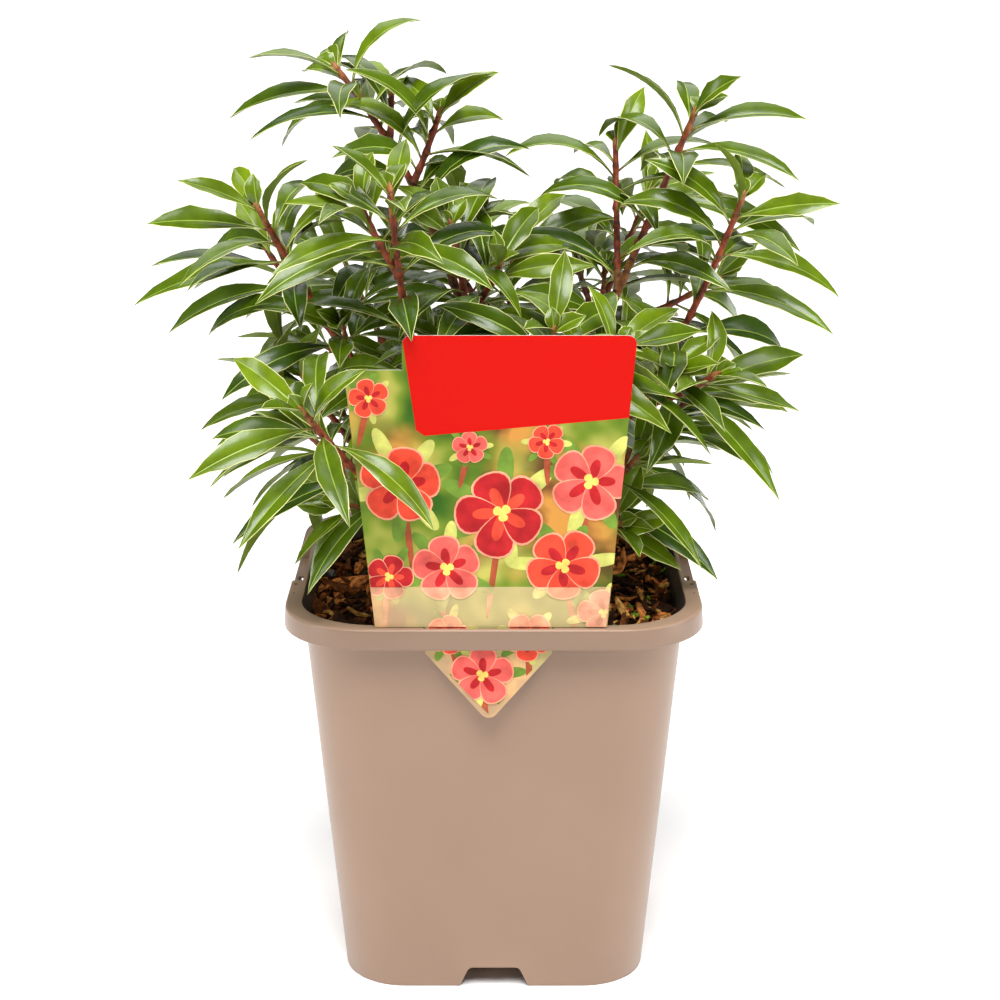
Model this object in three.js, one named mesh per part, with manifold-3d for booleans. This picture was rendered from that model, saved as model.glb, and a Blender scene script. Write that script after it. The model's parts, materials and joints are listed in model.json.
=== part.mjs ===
// A young pieris shrub in its square nursery pot. Millimetres, +Z up, -Y is the side with the label.
// The origin is on the ground, under the middle of the pot.
import * as THREE from 'three';
import { mergeVertices } from 'three/addons/utils/BufferGeometryUtils.js';
import Module from 'manifold-3d';

const wasm = await Module();
wasm.setup();

const GAP = 0.3; // kept between neighbouring pieces
const FUSE_ROUNDING = 0.12; // smallest detail kept where leaves are fused to a stem

// Pot: a thin tapered shell with a hollow collar round its mouth.
const POT_HEIGHT = 146.3;
const POT_FOOT_HALF = 55.6;
const POT_NECK_HALF = 68;
const POT_CORNER = 28; // corner radius at the neck
const POT_WALL = 1.6;
const COLLAR_HALF = 74.6;
const COLLAR_CORNER = 31;
const COLLAR_HEIGHT = 7.5;
const COLLAR_MOUTH_HALF = 68.8;
const COLLAR_SHEET = 1.8;
const COLLAR_DRAFT = 0.4; // how far its lower edge stands out
const NECK_LEDGE = 137; // height of the small step inside the mouth
const POCKET_FROM = -19; // the two side pockets in the collar, along Y
const POCKET_TO = 23;
const POCKET_FLOOR = 141.4;
const POCKET_HOLE = [2.2, 3.4]; // across and along the collar
const FLOOR_HEIGHT = 9;
const FLOOR_SHEET = 2;
const FOOT_PAD_RADIUS = 14;
const DRAIN_RADIUS = 5;
const DRAIN_PLACE = 31;
const NOTCH_HEIGHT = 8;
const NOTCH_FOOT_HALF = 13.2;
const NOTCH_TOP_HALF = 9.2;
const CORNER_STEPS = 6;
const POT_ROUNDING = 0.02;

// Compost: fills the pot to a little below the rim.
const COMPOST_TOP = 138;
const COMPOST_EDGE = 136.6;
const COMPOST_SHOULDER = 0.62; // where its top starts to fall, from middle to edge
const COMPOST_PATCH = 16; // radius of the flat place that the trunk stands on
const COMPOST_SIDES = 28;

// Label: a card that stands on the rim, with a tongue through a slot in the collar.
const LABEL_SHEET = 0.6;
const LABEL_Y = -71.8;
const LABEL_FOOT = POT_HEIGHT + GAP;
const LABEL_FOOT_LEFT = -41;
const LABEL_FOOT_RIGHT = 39.3;
const LABEL_CARD_TOP = 237.7;
const LABEL_CARD_LEFT = -50.2;
const LABEL_HEADER_TOP = 249.5;
const LABEL_HEADER_LEFT = -30.6;
const LABEL_HEADER_RIGHT = 48.2;
const LABEL_ROUND = 3.5;
const TONGUE_CENTRE = -1.7;
const TONGUE_HALF = 22;
const TONGUE_BEND = 137; // height where the tongue starts to narrow
const TONGUE_TIP = 112.8;
const SLOT_CLEAR = 0.6;

// Wood
const TRUNK_FOOT = COMPOST_TOP + GAP;
const TRUNK_TOP = 166;
const TRUNK_LEAN = [1.2, 1.5];
const TRUNK_RADIUS = 5.4;
const TRUNK_TOP_RADIUS = 4.3;
const TRUNK_FLARE = 4.2; // added to the radius at the ground
const TRUNK_FLARE_REACH = 0.16; // part of the height in which the flare fades
const BOUGH_RADIUS = 2.5;
const BOUGH_END_RADIUS = 1.8;
const STEM_TIP_RADIUS = 1.25;
const SHOOT_RADIUS = 1.5;
const SHOOT_SAG = 0.1; // how far a side shoot hangs under its chord, per length

// Leaves
const LEAF_YOUNG = 27; // length of the innermost leaf of a rosette
const LEAF_GROWN = 49;
const LEAF_SPREAD = 5; // random change of the length
const LEAF_WIDTH = [6, 0.1]; // width: a fixed part, and a part of the length
const LEAF_WIDEST = 0.52; // where it is widest, along its length
const LEAF_KEEL = 0.9;
const STALK_HALF = 0.5;
const STALK_KEEL = 0.5;
const ROSETTE_LEAVES = 9;
const ROSETTE_STEP = 2.5; // along the stem, within a rosette
const LEAF_STEP = 8.5; // along the stem, below a rosette
const GOLDEN_TURN = 137.508;
const OPEN_YOUNG = 29; // degrees from the stem
const OPEN_GROWN = 72;
const OPEN_BY = 5; // number of the first leaf that is fully open
const GROWN_BY = 4; // and of the first one that is fully long
const OPEN_SPREAD = 7;
const DROOP_YOUNG = 20; // degrees of bend from root to tip
const DROOP_GROWN = 66;
const DROOP_SPREAD = 10;
const ROLL_SPREAD = 14;
const RISE_PULL = 0.3; // how far a leaf turns upwards
const OUTWARD_PULL = 0.4; // and out of the crown
const OUTWARD_FULL = 70; // distance from the middle at which it turns out in full
const FACE_PULL = 1.4; // how far its face turns to the light

// Room kept between leaves, limbs, label and pot
const SAMPLE_STEP = 2.6;
const SAMPLE_FROM = 0.2; // part of a leaf's length that may lie against its stem
const CROWD_FROM = 0.45; // the same between leaves of one mass
const LEAF_ROOM = 3;
const CROWD_ROOM = 1.7;
const LIMB_ROOM = 1.8;
const LABEL_ROOM = 1.9;
const RIM_ROOM = 2.5;
const TRIES = [ // degrees round the stem and away from it, in the order that a leaf tries them
  [0, 0], [14, 0], [-14, 0], [27, -8], [-27, -8], [0, -18], [44, -14], [-44, -14], [62, 0], [-62, 0],
];

// Each limb runs from the trunk to its tip: a bare bough up to `leafy`, then a mass of foliage.
// at: height on the trunk, 0 to 1. swing: where its curve is drawn to, across and up, 0 to 1.
// turn: degrees that its leaves are turned round it. shoots: side shoots of the mass, each
// [place along the limb, tip].
const LIMBS = [
  { name: 'left_upper', at: 0.76, tip: [-84, -8, 282], swing: [0.6, 0.46], leafy: 0.5, turn: 210,
    shoots: [[0.7, [-84, 20, 262]]] },
  { name: 'left_low', at: 0.3, tip: [-63, -80, 225], swing: [0.6, 0.42], leafy: 0.42, turn: 60,
    shoots: [[0.6, [-66, -30, 205]]] },
  { name: 'front_left', at: 0.52, tip: [-35.5, -36, 292], swing: [0.8, 0.3], leafy: 0.52, turn: 0,
    shoots: [[0.84, [-46, -28, 286]]] },
  { name: 'crown_left', at: 1, tip: [-57, 24, 328], swing: [0.1, 0.62], leafy: 0.52, turn: 210,
    shoots: [[0.8, [-38, 34, 317]], [0.7, [-20, 18, 312]]] },
  { name: 'right_main', at: 0.8, tip: [72, 6, 314], swing: [0.52, 0.46], leafy: 0.5, turn: 30,
    shoots: [[0.6, [45, 28, 300]]] },
  { name: 'right_outer', at: 0.52, tip: [87, -20, 287], swing: [0.66, 0.36], leafy: 0.4, turn: 330,
    shoots: [[0.5, [78, -30, 226]]] },
  { name: 'front_centre', at: 0.72, tip: [20.5, -52, 246], swing: [0.45, 0.4], leafy: 0.45, turn: 0,
    shoots: [[0.66, [44, -44, 240]]] },
  { name: 'middle_left', at: 0.93, tip: [-15, -14, 276], swing: [0.3, 0.5], leafy: 0.5, turn: 0,
    shoots: [[0.7, [2, -20, 264]]] },
  { name: 'back_centre', at: 0.92, tip: [8, 46, 262], swing: [0.4, 0.5], leafy: 0.5, turn: 0,
    shoots: [[0.66, [-20, 54, 258]]] },
  { name: 'right_low', at: 0.22, tip: [50, -34, 196], swing: [0.6, 0.45], leafy: 0.5, turn: 330,
    shoots: [] },
  { name: 'back_left', at: 0.62, tip: [-59, 62, 252], swing: [0.5, 0.42], leafy: 0.45, turn: 0,
    shoots: [[0.62, [-70, 50, 222]], [0.66, [-34, 80, 238]]] },
  { name: 'back_right', at: 0.66, tip: [60, 60, 278], swing: [0.45, 0.44], leafy: 0.45, turn: 0,
    shoots: [[0.62, [86, 50, 246]], [0.66, [32, 78, 250]]] },
  { name: 'back_low', at: 0.3, tip: [2, 86, 214], swing: [0.55, 0.42], leafy: 0.45, turn: 0,
    shoots: [[0.6, [-30, 78, 198]], [0.6, [32, 80, 202]]] },
  { name: 'left_back', at: 0.2, tip: [-72, 26, 212], swing: [0.6, 0.4], leafy: 0.45, turn: 0,
    shoots: [[0.6, [-60, 52, 194]]] },
  { name: 'right_back', at: 0.34, tip: [78, 36, 206], swing: [0.6, 0.4], leafy: 0.45, turn: 210,
    shoots: [[0.6, [60, 60, 196]]] },
];

const UP = new THREE.Vector3(0, 0, 1);
const LIGHT = new THREE.Vector3(0, -0.8, 0.7).normalize(); // the plant faces a light in front and above
const FRAME_AXIS = new THREE.Vector3(0, 1, 0); // no limb runs along it

function material(color, roughness, metalness = 0) {
  return new THREE.MeshStandardMaterial({ color, roughness, metalness });
}

const plastic = () => material(0xb39a86, 0.5);
const soil = () => material(0x3a2418, 0.95);
const card = () => material(0xd9503f, 0.35);
const bark = () => material(0x7a4630, 0.8);
const foliage = () => material(0x4c7a24, 0.45);

// ---- solids --------------------------------------------------------------------------------

function toSolid(geometry) {
  const bare = geometry.clone();
  bare.deleteAttribute('normal');
  bare.deleteAttribute('uv');
  const merged = mergeVertices(bare, 1e-4);
  const vertProperties = new Float32Array(merged.attributes.position.array);
  const triVerts = new Uint32Array(merged.index.array);
  return new wasm.Manifold(new wasm.Mesh({ numProp: 3, vertProperties, triVerts }));
}

function toGeometry(solid) {
  const mesh = solid.getMesh();
  const geometry = new THREE.BufferGeometry();
  geometry.setAttribute('position', new THREE.BufferAttribute(mesh.vertProperties, 3));
  geometry.setIndex(new THREE.BufferAttribute(mesh.triVerts, 1));
  geometry.computeVertexNormals();
  return geometry;
}

function piece(name, geometry, surface) {
  const mesh = new THREE.Mesh(geometry, surface);
  mesh.name = name;
  return mesh;
}

// Moves every vertex of a geometry to where `place` puts it.
function reshape(geometry, place) {
  const position = geometry.attributes.position;
  const vertex = new THREE.Vector3();
  for (let i = 0; i < position.count; i += 1) {
    vertex.fromBufferAttribute(position, i);
    const moved = place(vertex);
    position.setXYZ(i, moved.x, moved.y, moved.z);
  }
  geometry.computeVertexNormals();
  return geometry;
}

function box(from, to) {
  const size = to.map((value, axis) => value - from[axis]);
  const geometry = new THREE.BoxGeometry(...size);
  return geometry.translate(...from.map((value, axis) => value + size[axis] / 2));
}

// ---- pot -----------------------------------------------------------------------------------

function roundedSquare(half, radius) {
  const shape = new THREE.Shape();
  const centre = half - radius;
  for (let corner = 0; corner < 4; corner += 1) {
    const turn = corner * Math.PI / 2;
    const x = centre * Math.sign(Math.cos(turn + Math.PI / 4));
    const y = centre * Math.sign(Math.sin(turn + Math.PI / 4));
    shape.absarc(x, y, radius, turn, turn + Math.PI / 2);
  }
  return shape;
}

// A block on a rounded square that changes evenly from one half width to the other.
function taperedBlock(halfFoot, halfTop, from, to, corner) {
  const shape = roundedSquare(halfTop, corner);
  const depth = to - from;
  const block = new THREE.ExtrudeGeometry(shape, { depth, bevelEnabled: false, curveSegments: CORNER_STEPS });
  return reshape(block, (vertex) => {
    const scale = THREE.MathUtils.lerp(halfFoot / halfTop, 1, vertex.z / depth);
    return new THREE.Vector3(vertex.x * scale, vertex.y * scale, from + vertex.z);
  });
}

// Outer half width of the wall at a height.
function wallHalf(height) {
  return THREE.MathUtils.lerp(POT_FOOT_HALF, POT_NECK_HALF, height / (POT_HEIGHT - COLLAR_HEIGHT));
}

function wallBlock(inset, from, to) {
  const halfTop = wallHalf(to) - inset;
  return taperedBlock(wallHalf(from) - inset, halfTop, from, to, POT_CORNER * halfTop / POT_NECK_HALF);
}

function collarBlock() {
  const from = POT_HEIGHT - COLLAR_HEIGHT;
  return toSolid(taperedBlock(COLLAR_HALF + COLLAR_DRAFT, COLLAR_HALF, from, POT_HEIGHT, COLLAR_CORNER));
}

// The groove that leaves the collar hollow underneath.
function collarGroove() {
  const from = POT_HEIGHT - COLLAR_HEIGHT - 1;
  const to = POT_HEIGHT - COLLAR_SHEET;
  const outerHalf = COLLAR_HALF - COLLAR_SHEET;
  const innerHalf = COLLAR_MOUTH_HALF + POT_WALL;
  const outer = taperedBlock(outerHalf, outerHalf, from, to, COLLAR_CORNER - COLLAR_SHEET);
  const inner = taperedBlock(innerHalf, innerHalf, from - 1, to + 1, POT_CORNER + 1);
  return toSolid(outer).subtract(toSolid(inner));
}

function pocketFill(side) {
  const x = [COLLAR_MOUTH_HALF + 1, COLLAR_HALF - 1].map((value) => value * side).sort((a, b) => a - b);
  return toSolid(box(
    [x[0], POCKET_FROM - COLLAR_SHEET, POCKET_FLOOR - COLLAR_SHEET],
    [x[1], POCKET_TO + COLLAR_SHEET, POT_HEIGHT - 1],
  ));
}

function pocketCut(side) {
  const inner = COLLAR_MOUTH_HALF + POT_WALL;
  const x = [inner, COLLAR_HALF + 1].map((value) => value * side).sort((a, b) => a - b);
  const pocket = toSolid(box([x[0], POCKET_FROM, POCKET_FLOOR], [x[1], POCKET_TO, POT_HEIGHT + 1]));
  const middle = (inner + COLLAR_HALF) / 2 * side;
  const [across, along] = POCKET_HOLE;
  const hole = box(
    [middle - across / 2, POCKET_FROM + 1, POCKET_FLOOR - 2 * COLLAR_SHEET],
    [middle + across / 2, POCKET_FROM + 1 + along, POCKET_FLOOR + 1],
  );
  return pocket.add(toSolid(hole));
}

// One long notch cuts the feet of two facing walls.
function notchCut(turn) {
  const shape = new THREE.Shape();
  shape.moveTo(-NOTCH_FOOT_HALF - 0.5, -1);
  shape.lineTo(NOTCH_FOOT_HALF + 0.5, -1);
  shape.lineTo(NOTCH_TOP_HALF + 1, NOTCH_HEIGHT - 1.5);
  shape.lineTo(NOTCH_TOP_HALF - 0.8, NOTCH_HEIGHT);
  shape.lineTo(-NOTCH_TOP_HALF + 0.8, NOTCH_HEIGHT);
  shape.lineTo(-NOTCH_TOP_HALF - 1, NOTCH_HEIGHT - 1.5);
  const depth = 2 * POT_NECK_HALF;
  const bar = new THREE.ExtrudeGeometry(shape, { depth, bevelEnabled: false });
  bar.rotateX(Math.PI / 2);
  bar.translate(0, depth / 2, 0);
  bar.rotateZ(turn);
  return toSolid(bar);
}

function footPad() {
  const height = FLOOR_HEIGHT + FLOOR_SHEET / 2;
  const pad = new THREE.CylinderGeometry(FOOT_PAD_RADIUS, FOOT_PAD_RADIUS, height, 16);
  pad.rotateX(Math.PI / 2);
  return toSolid(pad.translate(0, 0, height / 2));
}

function drainHole(x, y) {
  const hole = new THREE.CylinderGeometry(DRAIN_RADIUS, DRAIN_RADIUS, 4 * FLOOR_SHEET, 8);
  hole.rotateX(Math.PI / 2);
  return toSolid(hole.translate(x, y, FLOOR_HEIGHT));
}

function labelSlot() {
  const half = LABEL_SHEET / 2 + SLOT_CLEAR;
  const reach = TONGUE_HALF + SLOT_CLEAR;
  return toSolid(box(
    [TONGUE_CENTRE - reach, LABEL_Y - half, POT_HEIGHT - COLLAR_SHEET - 1],
    [TONGUE_CENTRE + reach, LABEL_Y + half, POT_HEIGHT + 1],
  ));
}

function potShell() {
  const neck = POT_HEIGHT - COLLAR_HEIGHT;
  const floorTop = FLOOR_HEIGHT + FLOOR_SHEET;
  let pot = toSolid(wallBlock(0, 0, neck + 1)).add(collarBlock());
  pot = pot.subtract(collarGroove());
  pot = pot.add(pocketFill(-1)).add(pocketFill(1));
  pot = pot.subtract(toSolid(wallBlock(POT_WALL, floorTop, NECK_LEDGE)));
  const ledgeHalf = wallHalf(NECK_LEDGE) - POT_WALL;
  const mouth = taperedBlock(ledgeHalf, COLLAR_MOUTH_HALF, NECK_LEDGE - 0.01, POT_HEIGHT + 0.01, POT_CORNER);
  pot = pot.subtract(toSolid(mouth));
  let under = toSolid(wallBlock(POT_WALL, -1, FLOOR_HEIGHT));
  under = under.add(notchCut(0)).add(notchCut(Math.PI / 2));
  pot = pot.subtract(under).add(footPad());
  for (const x of [-DRAIN_PLACE, DRAIN_PLACE]) {
    for (const y of [-DRAIN_PLACE, DRAIN_PLACE]) {
      pot = pot.subtract(drainHole(x, y));
    }
  }
  pot = pot.subtract(pocketCut(-1)).subtract(pocketCut(1)).subtract(labelSlot());
  return pot.simplify(POT_ROUNDING);
}

// ---- compost and label ---------------------------------------------------------------------

// Distance from the middle of a rounded square to its edge, in the direction of an angle.
function squareReach(angle, half, radius) {
  const sides = [Math.abs(Math.cos(angle)), Math.abs(Math.sin(angle))].sort((a, b) => b - a);
  const centre = half - radius;
  if (half * sides[1] / sides[0] <= centre) {
    return half / sides[0];
  }
  const along = centre * (sides[0] + sides[1]);
  return along + Math.sqrt(along * along - 2 * centre * centre + radius * radius);
}

function compostGeometry() {
  const foot = FLOOR_HEIGHT + FLOOR_SHEET + GAP;
  const inset = POT_WALL + 1.5 * GAP;
  const patch = COMPOST_PATCH / POT_NECK_HALF;
  const profile = [
    [0, foot], [1, foot], [1, COMPOST_EDGE],
    [COMPOST_SHOULDER, COMPOST_TOP], [patch, COMPOST_TOP], [0, COMPOST_TOP],
  ];
  const points = profile.map(([across, height]) => new THREE.Vector2(across, height));
  const lathe = new THREE.LatheGeometry(points, COMPOST_SIDES).rotateX(Math.PI / 2);
  return reshape(lathe, (vertex) => {
    const half = wallHalf(vertex.z) - inset;
    const angle = Math.atan2(vertex.y, vertex.x);
    const reach = squareReach(angle, half, POT_CORNER * half / POT_NECK_HALF);
    const across = Math.hypot(vertex.x, vertex.y) * reach;
    return new THREE.Vector3(across * Math.cos(angle), across * Math.sin(angle), vertex.z);
  });
}

function labelShape() {
  const round = LABEL_ROUND;
  const shape = new THREE.Shape();
  shape.moveTo(LABEL_FOOT_LEFT, LABEL_FOOT);
  shape.lineTo(TONGUE_CENTRE - TONGUE_HALF, LABEL_FOOT);
  shape.lineTo(TONGUE_CENTRE - TONGUE_HALF, TONGUE_BEND);
  shape.lineTo(TONGUE_CENTRE - round, TONGUE_TIP + round);
  shape.quadraticCurveTo(TONGUE_CENTRE, TONGUE_TIP, TONGUE_CENTRE + round, TONGUE_TIP + round);
  shape.lineTo(TONGUE_CENTRE + TONGUE_HALF, TONGUE_BEND);
  shape.lineTo(TONGUE_CENTRE + TONGUE_HALF, LABEL_FOOT);
  shape.lineTo(LABEL_FOOT_RIGHT, LABEL_FOOT);
  shape.lineTo(LABEL_HEADER_RIGHT, LABEL_HEADER_TOP - round);
  shape.quadraticCurveTo(
    LABEL_HEADER_RIGHT, LABEL_HEADER_TOP, LABEL_HEADER_RIGHT - round, LABEL_HEADER_TOP,
  );
  shape.lineTo(LABEL_HEADER_LEFT + round, LABEL_HEADER_TOP);
  shape.quadraticCurveTo(LABEL_HEADER_LEFT, LABEL_HEADER_TOP, LABEL_HEADER_LEFT, LABEL_HEADER_TOP - round);
  shape.lineTo(LABEL_HEADER_LEFT, LABEL_CARD_TOP);
  shape.lineTo(LABEL_CARD_LEFT, LABEL_CARD_TOP);
  return shape;
}

function labelGeometry() {
  const settings = { depth: LABEL_SHEET, bevelEnabled: false, curveSegments: 4 };
  const sheet = new THREE.ExtrudeGeometry(labelShape(), settings).rotateX(Math.PI / 2);
  return sheet.translate(0, LABEL_Y + LABEL_SHEET / 2, 0);
}

// ---- limbs ---------------------------------------------------------------------------------

function vector(values) {
  return new THREE.Vector3(...values);
}

// A quadratic curve, with its direction and two directions across it.
function curve(from, control, to) {
  const legs = [from.distanceTo(control), control.distanceTo(to), from.distanceTo(to)];
  return {
    length: (legs[0] + legs[1] + legs[2]) / 2,
    at(t) {
      const first = from.clone().lerp(control, t);
      const second = control.clone().lerp(to, t);
      const axis = second.clone().sub(first).normalize();
      const across = FRAME_AXIS.clone().cross(axis).normalize();
      return { point: first.lerp(second, t), axis, across, other: across.clone().cross(axis) };
    },
  };
}

// A closed limb along the stretch t0 to t1 of a curve.
function limbGeometry(path, t0, t1, radiusAt, sides, steps) {
  const tube = new THREE.CylinderGeometry(1, 1, 1, sides, steps);
  return reshape(tube, (vertex) => {
    const t = THREE.MathUtils.lerp(t0, t1, vertex.y + 0.5);
    const { point, across, other } = path.at(t);
    const radius = radiusAt(t);
    return point.addScaledVector(across, vertex.x * radius).addScaledVector(other, vertex.z * radius);
  });
}

function trunkPath() {
  const foot = new THREE.Vector3(0, 0, TRUNK_FOOT);
  const top = new THREE.Vector3(...TRUNK_LEAN, TRUNK_TOP);
  return curve(foot, foot.clone().lerp(top, 0.5).setX(0).setY(0), top);
}

function trunkRadius(t) {
  const flare = TRUNK_FLARE * Math.exp(-t / TRUNK_FLARE_REACH);
  return THREE.MathUtils.lerp(TRUNK_RADIUS, TRUNK_TOP_RADIUS, t) + flare;
}

// The trunk's foot is cut level, so its sections are kept level there.
function trunkGeometry() {
  const path = trunkPath();
  const tube = new THREE.CylinderGeometry(1, 1, 1, 10, 5);
  return reshape(tube, (vertex) => {
    const t = (vertex.y + 0.5) ** 1.6;
    const radius = trunkRadius(t);
    const { point } = path.at(t);
    return point.add(new THREE.Vector3(vertex.z * radius, vertex.x * radius, 0));
  });
}

// A limb starts just clear of the trunk, or just above its top.
function limbPath(limb) {
  const root = trunkPath().at(limb.at);
  const tip = vector(limb.tip);
  const span = tip.clone().sub(root.point);
  const [across, up] = limb.swing;
  const control = root.point.clone().add(new THREE.Vector3(span.x * across, span.y * across, span.z * up));
  const heading = control.clone().sub(root.point).normalize();
  const along = heading.dot(root.axis);
  if (limb.at === 1) {
    root.point.addScaledVector(root.axis, GAP + BOUGH_RADIUS * Math.sqrt(1 - along * along));
  } else {
    const away = heading.clone().addScaledVector(root.axis, -along).normalize();
    root.point.addScaledVector(away, trunkRadius(limb.at) + GAP + BOUGH_RADIUS * along);
  }
  return curve(root.point, control, tip);
}

function limbRadius(limb, t) {
  if (t < limb.leafy) {
    return THREE.MathUtils.lerp(BOUGH_RADIUS, BOUGH_END_RADIUS, t / limb.leafy);
  }
  return THREE.MathUtils.lerp(BOUGH_END_RADIUS, STEM_TIP_RADIUS, (t - limb.leafy) / (1 - limb.leafy));
}

function shootPath(parent, [place, tip]) {
  const { point } = parent.at(place);
  const end = vector(tip);
  const control = point.clone().lerp(end, 0.5).addScaledVector(UP, -SHOOT_SAG * point.distanceTo(end));
  return curve(point, control, end);
}

function shootRadius(t) {
  return THREE.MathUtils.lerp(SHOOT_RADIUS, STEM_TIP_RADIUS, t);
}

// ---- leaves --------------------------------------------------------------------------------

// A small seeded generator, so that the plant is the same each time it is grown.
function seededRandom(seed) {
  let state = seed >>> 0;
  return () => {
    state = (state + 0x6d2b79f5) >>> 0;
    let mixed = Math.imul(state ^ (state >>> 15), state | 1);
    mixed = (mixed + Math.imul(mixed ^ (mixed >>> 7), mixed | 61)) ^ mixed;
    return ((mixed ^ (mixed >>> 14)) >>> 0) / 4294967296;
  };
}

// The leaf's place is fixed by its number from the tip. Older leaves are longer, open wider and droop.
function leafTraits(number, random) {
  const either = () => 2 * random() - 1;
  const age = Math.min(1, number / OPEN_BY);
  const grown = Math.min(1, number / GROWN_BY);
  const lerp = THREE.MathUtils.lerp;
  return {
    age,
    length: lerp(LEAF_YOUNG, LEAF_GROWN, grown) + LEAF_SPREAD * either(),
    open: lerp(OPEN_YOUNG, OPEN_GROWN, age) + OPEN_SPREAD * either(),
    droop: lerp(DROOP_YOUNG, DROOP_GROWN, age) + DROOP_SPREAD * either(),
    roll: ROLL_SPREAD * either(),
  };
}

// The leaf's own directions: along it, across it and up from its face.
function leafFrame(stem, traits, turn, open) {
  const { degToRad } = THREE.MathUtils;
  const radial = stem.across.clone().multiplyScalar(Math.cos(degToRad(turn)));
  radial.addScaledVector(stem.other, Math.sin(degToRad(turn)));
  const along = stem.axis.clone().multiplyScalar(Math.cos(degToRad(open)));
  along.addScaledVector(radial, Math.sin(degToRad(open)));
  const outward = stem.point.clone().setZ(0).divideScalar(OUTWARD_FULL).clampLength(0, 1);
  along.addScaledVector(outward, OUTWARD_PULL * traits.age);
  along.addScaledVector(UP, RISE_PULL * traits.age).normalize();
  const lightward = stem.axis.clone().addScaledVector(LIGHT, FACE_PULL);
  const level = lightward.cross(along).normalize();
  const face = along.clone().cross(level);
  const roll = degToRad(traits.roll);
  const across = level.clone().multiplyScalar(Math.cos(roll)).addScaledVector(face, Math.sin(roll));
  return { along, across, face: along.clone().cross(across) };
}

// A point of the leaf: s runs from root to tip, side and lift are in millimetres from the midrib.
function leafPoint(leaf, s, side, lift) {
  const bend = THREE.MathUtils.degToRad(leaf.droop);
  const turned = bend * s;
  const point = leaf.root.clone();
  point.addScaledVector(leaf.along, leaf.length * Math.sin(turned) / bend + lift * Math.sin(turned));
  point.addScaledVector(leaf.face, lift * Math.cos(turned) - leaf.length * (1 - Math.cos(turned)) / bend);
  return point.addScaledVector(leaf.across, side);
}

function leafHalf(leaf, s) {
  const greatest = (LEAF_WIDTH[0] + LEAF_WIDTH[1] * leaf.length) / 2;
  if (s < LEAF_WIDEST) {
    return THREE.MathUtils.lerp(STALK_HALF, greatest, s / LEAF_WIDEST);
  }
  return greatest * (1 - s) / (1 - LEAF_WIDEST);
}

function leafSamples(leaf) {
  const samples = [];
  const steps = Math.ceil(leaf.length / SAMPLE_STEP);
  for (let step = 0; step <= steps; step += 1) {
    const s = step / steps;
    if (s < SAMPLE_FROM) {
      continue;
    }
    const half = leafHalf(leaf, s);
    for (let side = -2; side <= 2; side += 1) {
      samples.push({ s, point: leafPoint(leaf, s, half * side / 2, 0) });
    }
  }
  return samples;
}

// True where a point is too near the label, the rim, the wall or the compost.
function nearPot({ x, y, z }) {
  const out = Math.max(Math.abs(x), Math.abs(y));
  const overPot = out < COLLAR_HALF + RIM_ROOM;
  const floor = out < COLLAR_MOUTH_HALF - 2 * RIM_ROOM ? COMPOST_TOP + RIM_ROOM : POT_HEIGHT + RIM_ROOM;
  const nearLabel = Math.abs(y - LABEL_Y) < LABEL_ROOM && z < LABEL_HEADER_TOP + LABEL_ROOM
    && x > LABEL_CARD_LEFT - LABEL_ROOM && x < LABEL_HEADER_RIGHT + LABEL_ROOM;
  return nearLabel || (overPot && z < floor);
}

function nearLimb(samples, limbs) {
  return limbs.some(({ point, radius }) => samples.some(
    (sample) => sample.point.distanceTo(point) < radius + LIMB_ROOM,
  ));
}

function nearLeaf(leaf, grown) {
  return grown.some((other) => {
    if (leaf.middle.distanceTo(other.middle) > (leaf.length + other.length) / 2 + LEAF_ROOM) {
      return false;
    }
    const same = leaf.mass === other.mass;
    const room = same ? CROWD_ROOM : LEAF_ROOM;
    const from = same ? CROWD_FROM : 0;
    return leaf.samples.some((a) => a.s >= from && other.samples.some(
      (b) => b.s >= from && a.point.distanceTo(b.point) < room,
    ));
  });
}

// Grows one leaf where it has room, turning it a little at each try, or gives nothing.
function growLeaf(mass, stem, number, turn, random, limbs, grown) {
  const traits = leafTraits(number, random);
  for (const [aside, closer] of TRIES) {
    const frame = leafFrame(stem, traits, turn + aside, traits.open + closer);
    const leaf = { mass, ...traits, ...frame, root: stem.point };
    leaf.samples = leafSamples(leaf);
    leaf.middle = leafPoint(leaf, 0.5, 0, 0);
    const blocked = leaf.samples.some((sample) => nearPot(sample.point))
      || nearLimb(leaf.samples, limbs) || nearLeaf(leaf, grown);
    if (!blocked) {
      return leaf;
    }
  }
  return null;
}

// Leaves follow each other up a stem by the golden turn: a rosette at its tip, then wider apart.
function growLeaves(mass, path, bareLength, turned, random, limbs, grown) {
  const start = turned + 360 * random();
  for (let number = 0; ; number += 1) {
    const inRosette = Math.min(number, ROSETTE_LEAVES);
    const fromTip = ROSETTE_STEP * (inRosette + 0.6) + LEAF_STEP * (number - inRosette);
    if (fromTip > path.length - bareLength) {
      return;
    }
    const stem = path.at(1 - fromTip / path.length);
    const leaf = growLeaf(mass, stem, number, start + GOLDEN_TURN * number, random, limbs, grown);
    if (leaf) {
      grown.push(leaf);
    }
  }
}

// A leaf is three-sided, from its root by its widest place to its tip.
function leafGeometry(leaf) {
  return reshape(new THREE.ConeGeometry(1, 1, 3, 2), (vertex) => {
    const radius = 0.5 - vertex.y;
    if (radius < 0.1) {
      return leafPoint(leaf, 1, 0, 0);
    }
    const [s, keel] = radius > 0.9 ? [0, STALK_KEEL] : [LEAF_WIDEST, LEAF_KEEL];
    const side = vertex.x / radius / Math.sin(Math.PI / 3) * leafHalf(leaf, s);
    return leafPoint(leaf, s, side, -vertex.z / radius * keel);
  });
}

// ---- the plant -----------------------------------------------------------------------------

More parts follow.
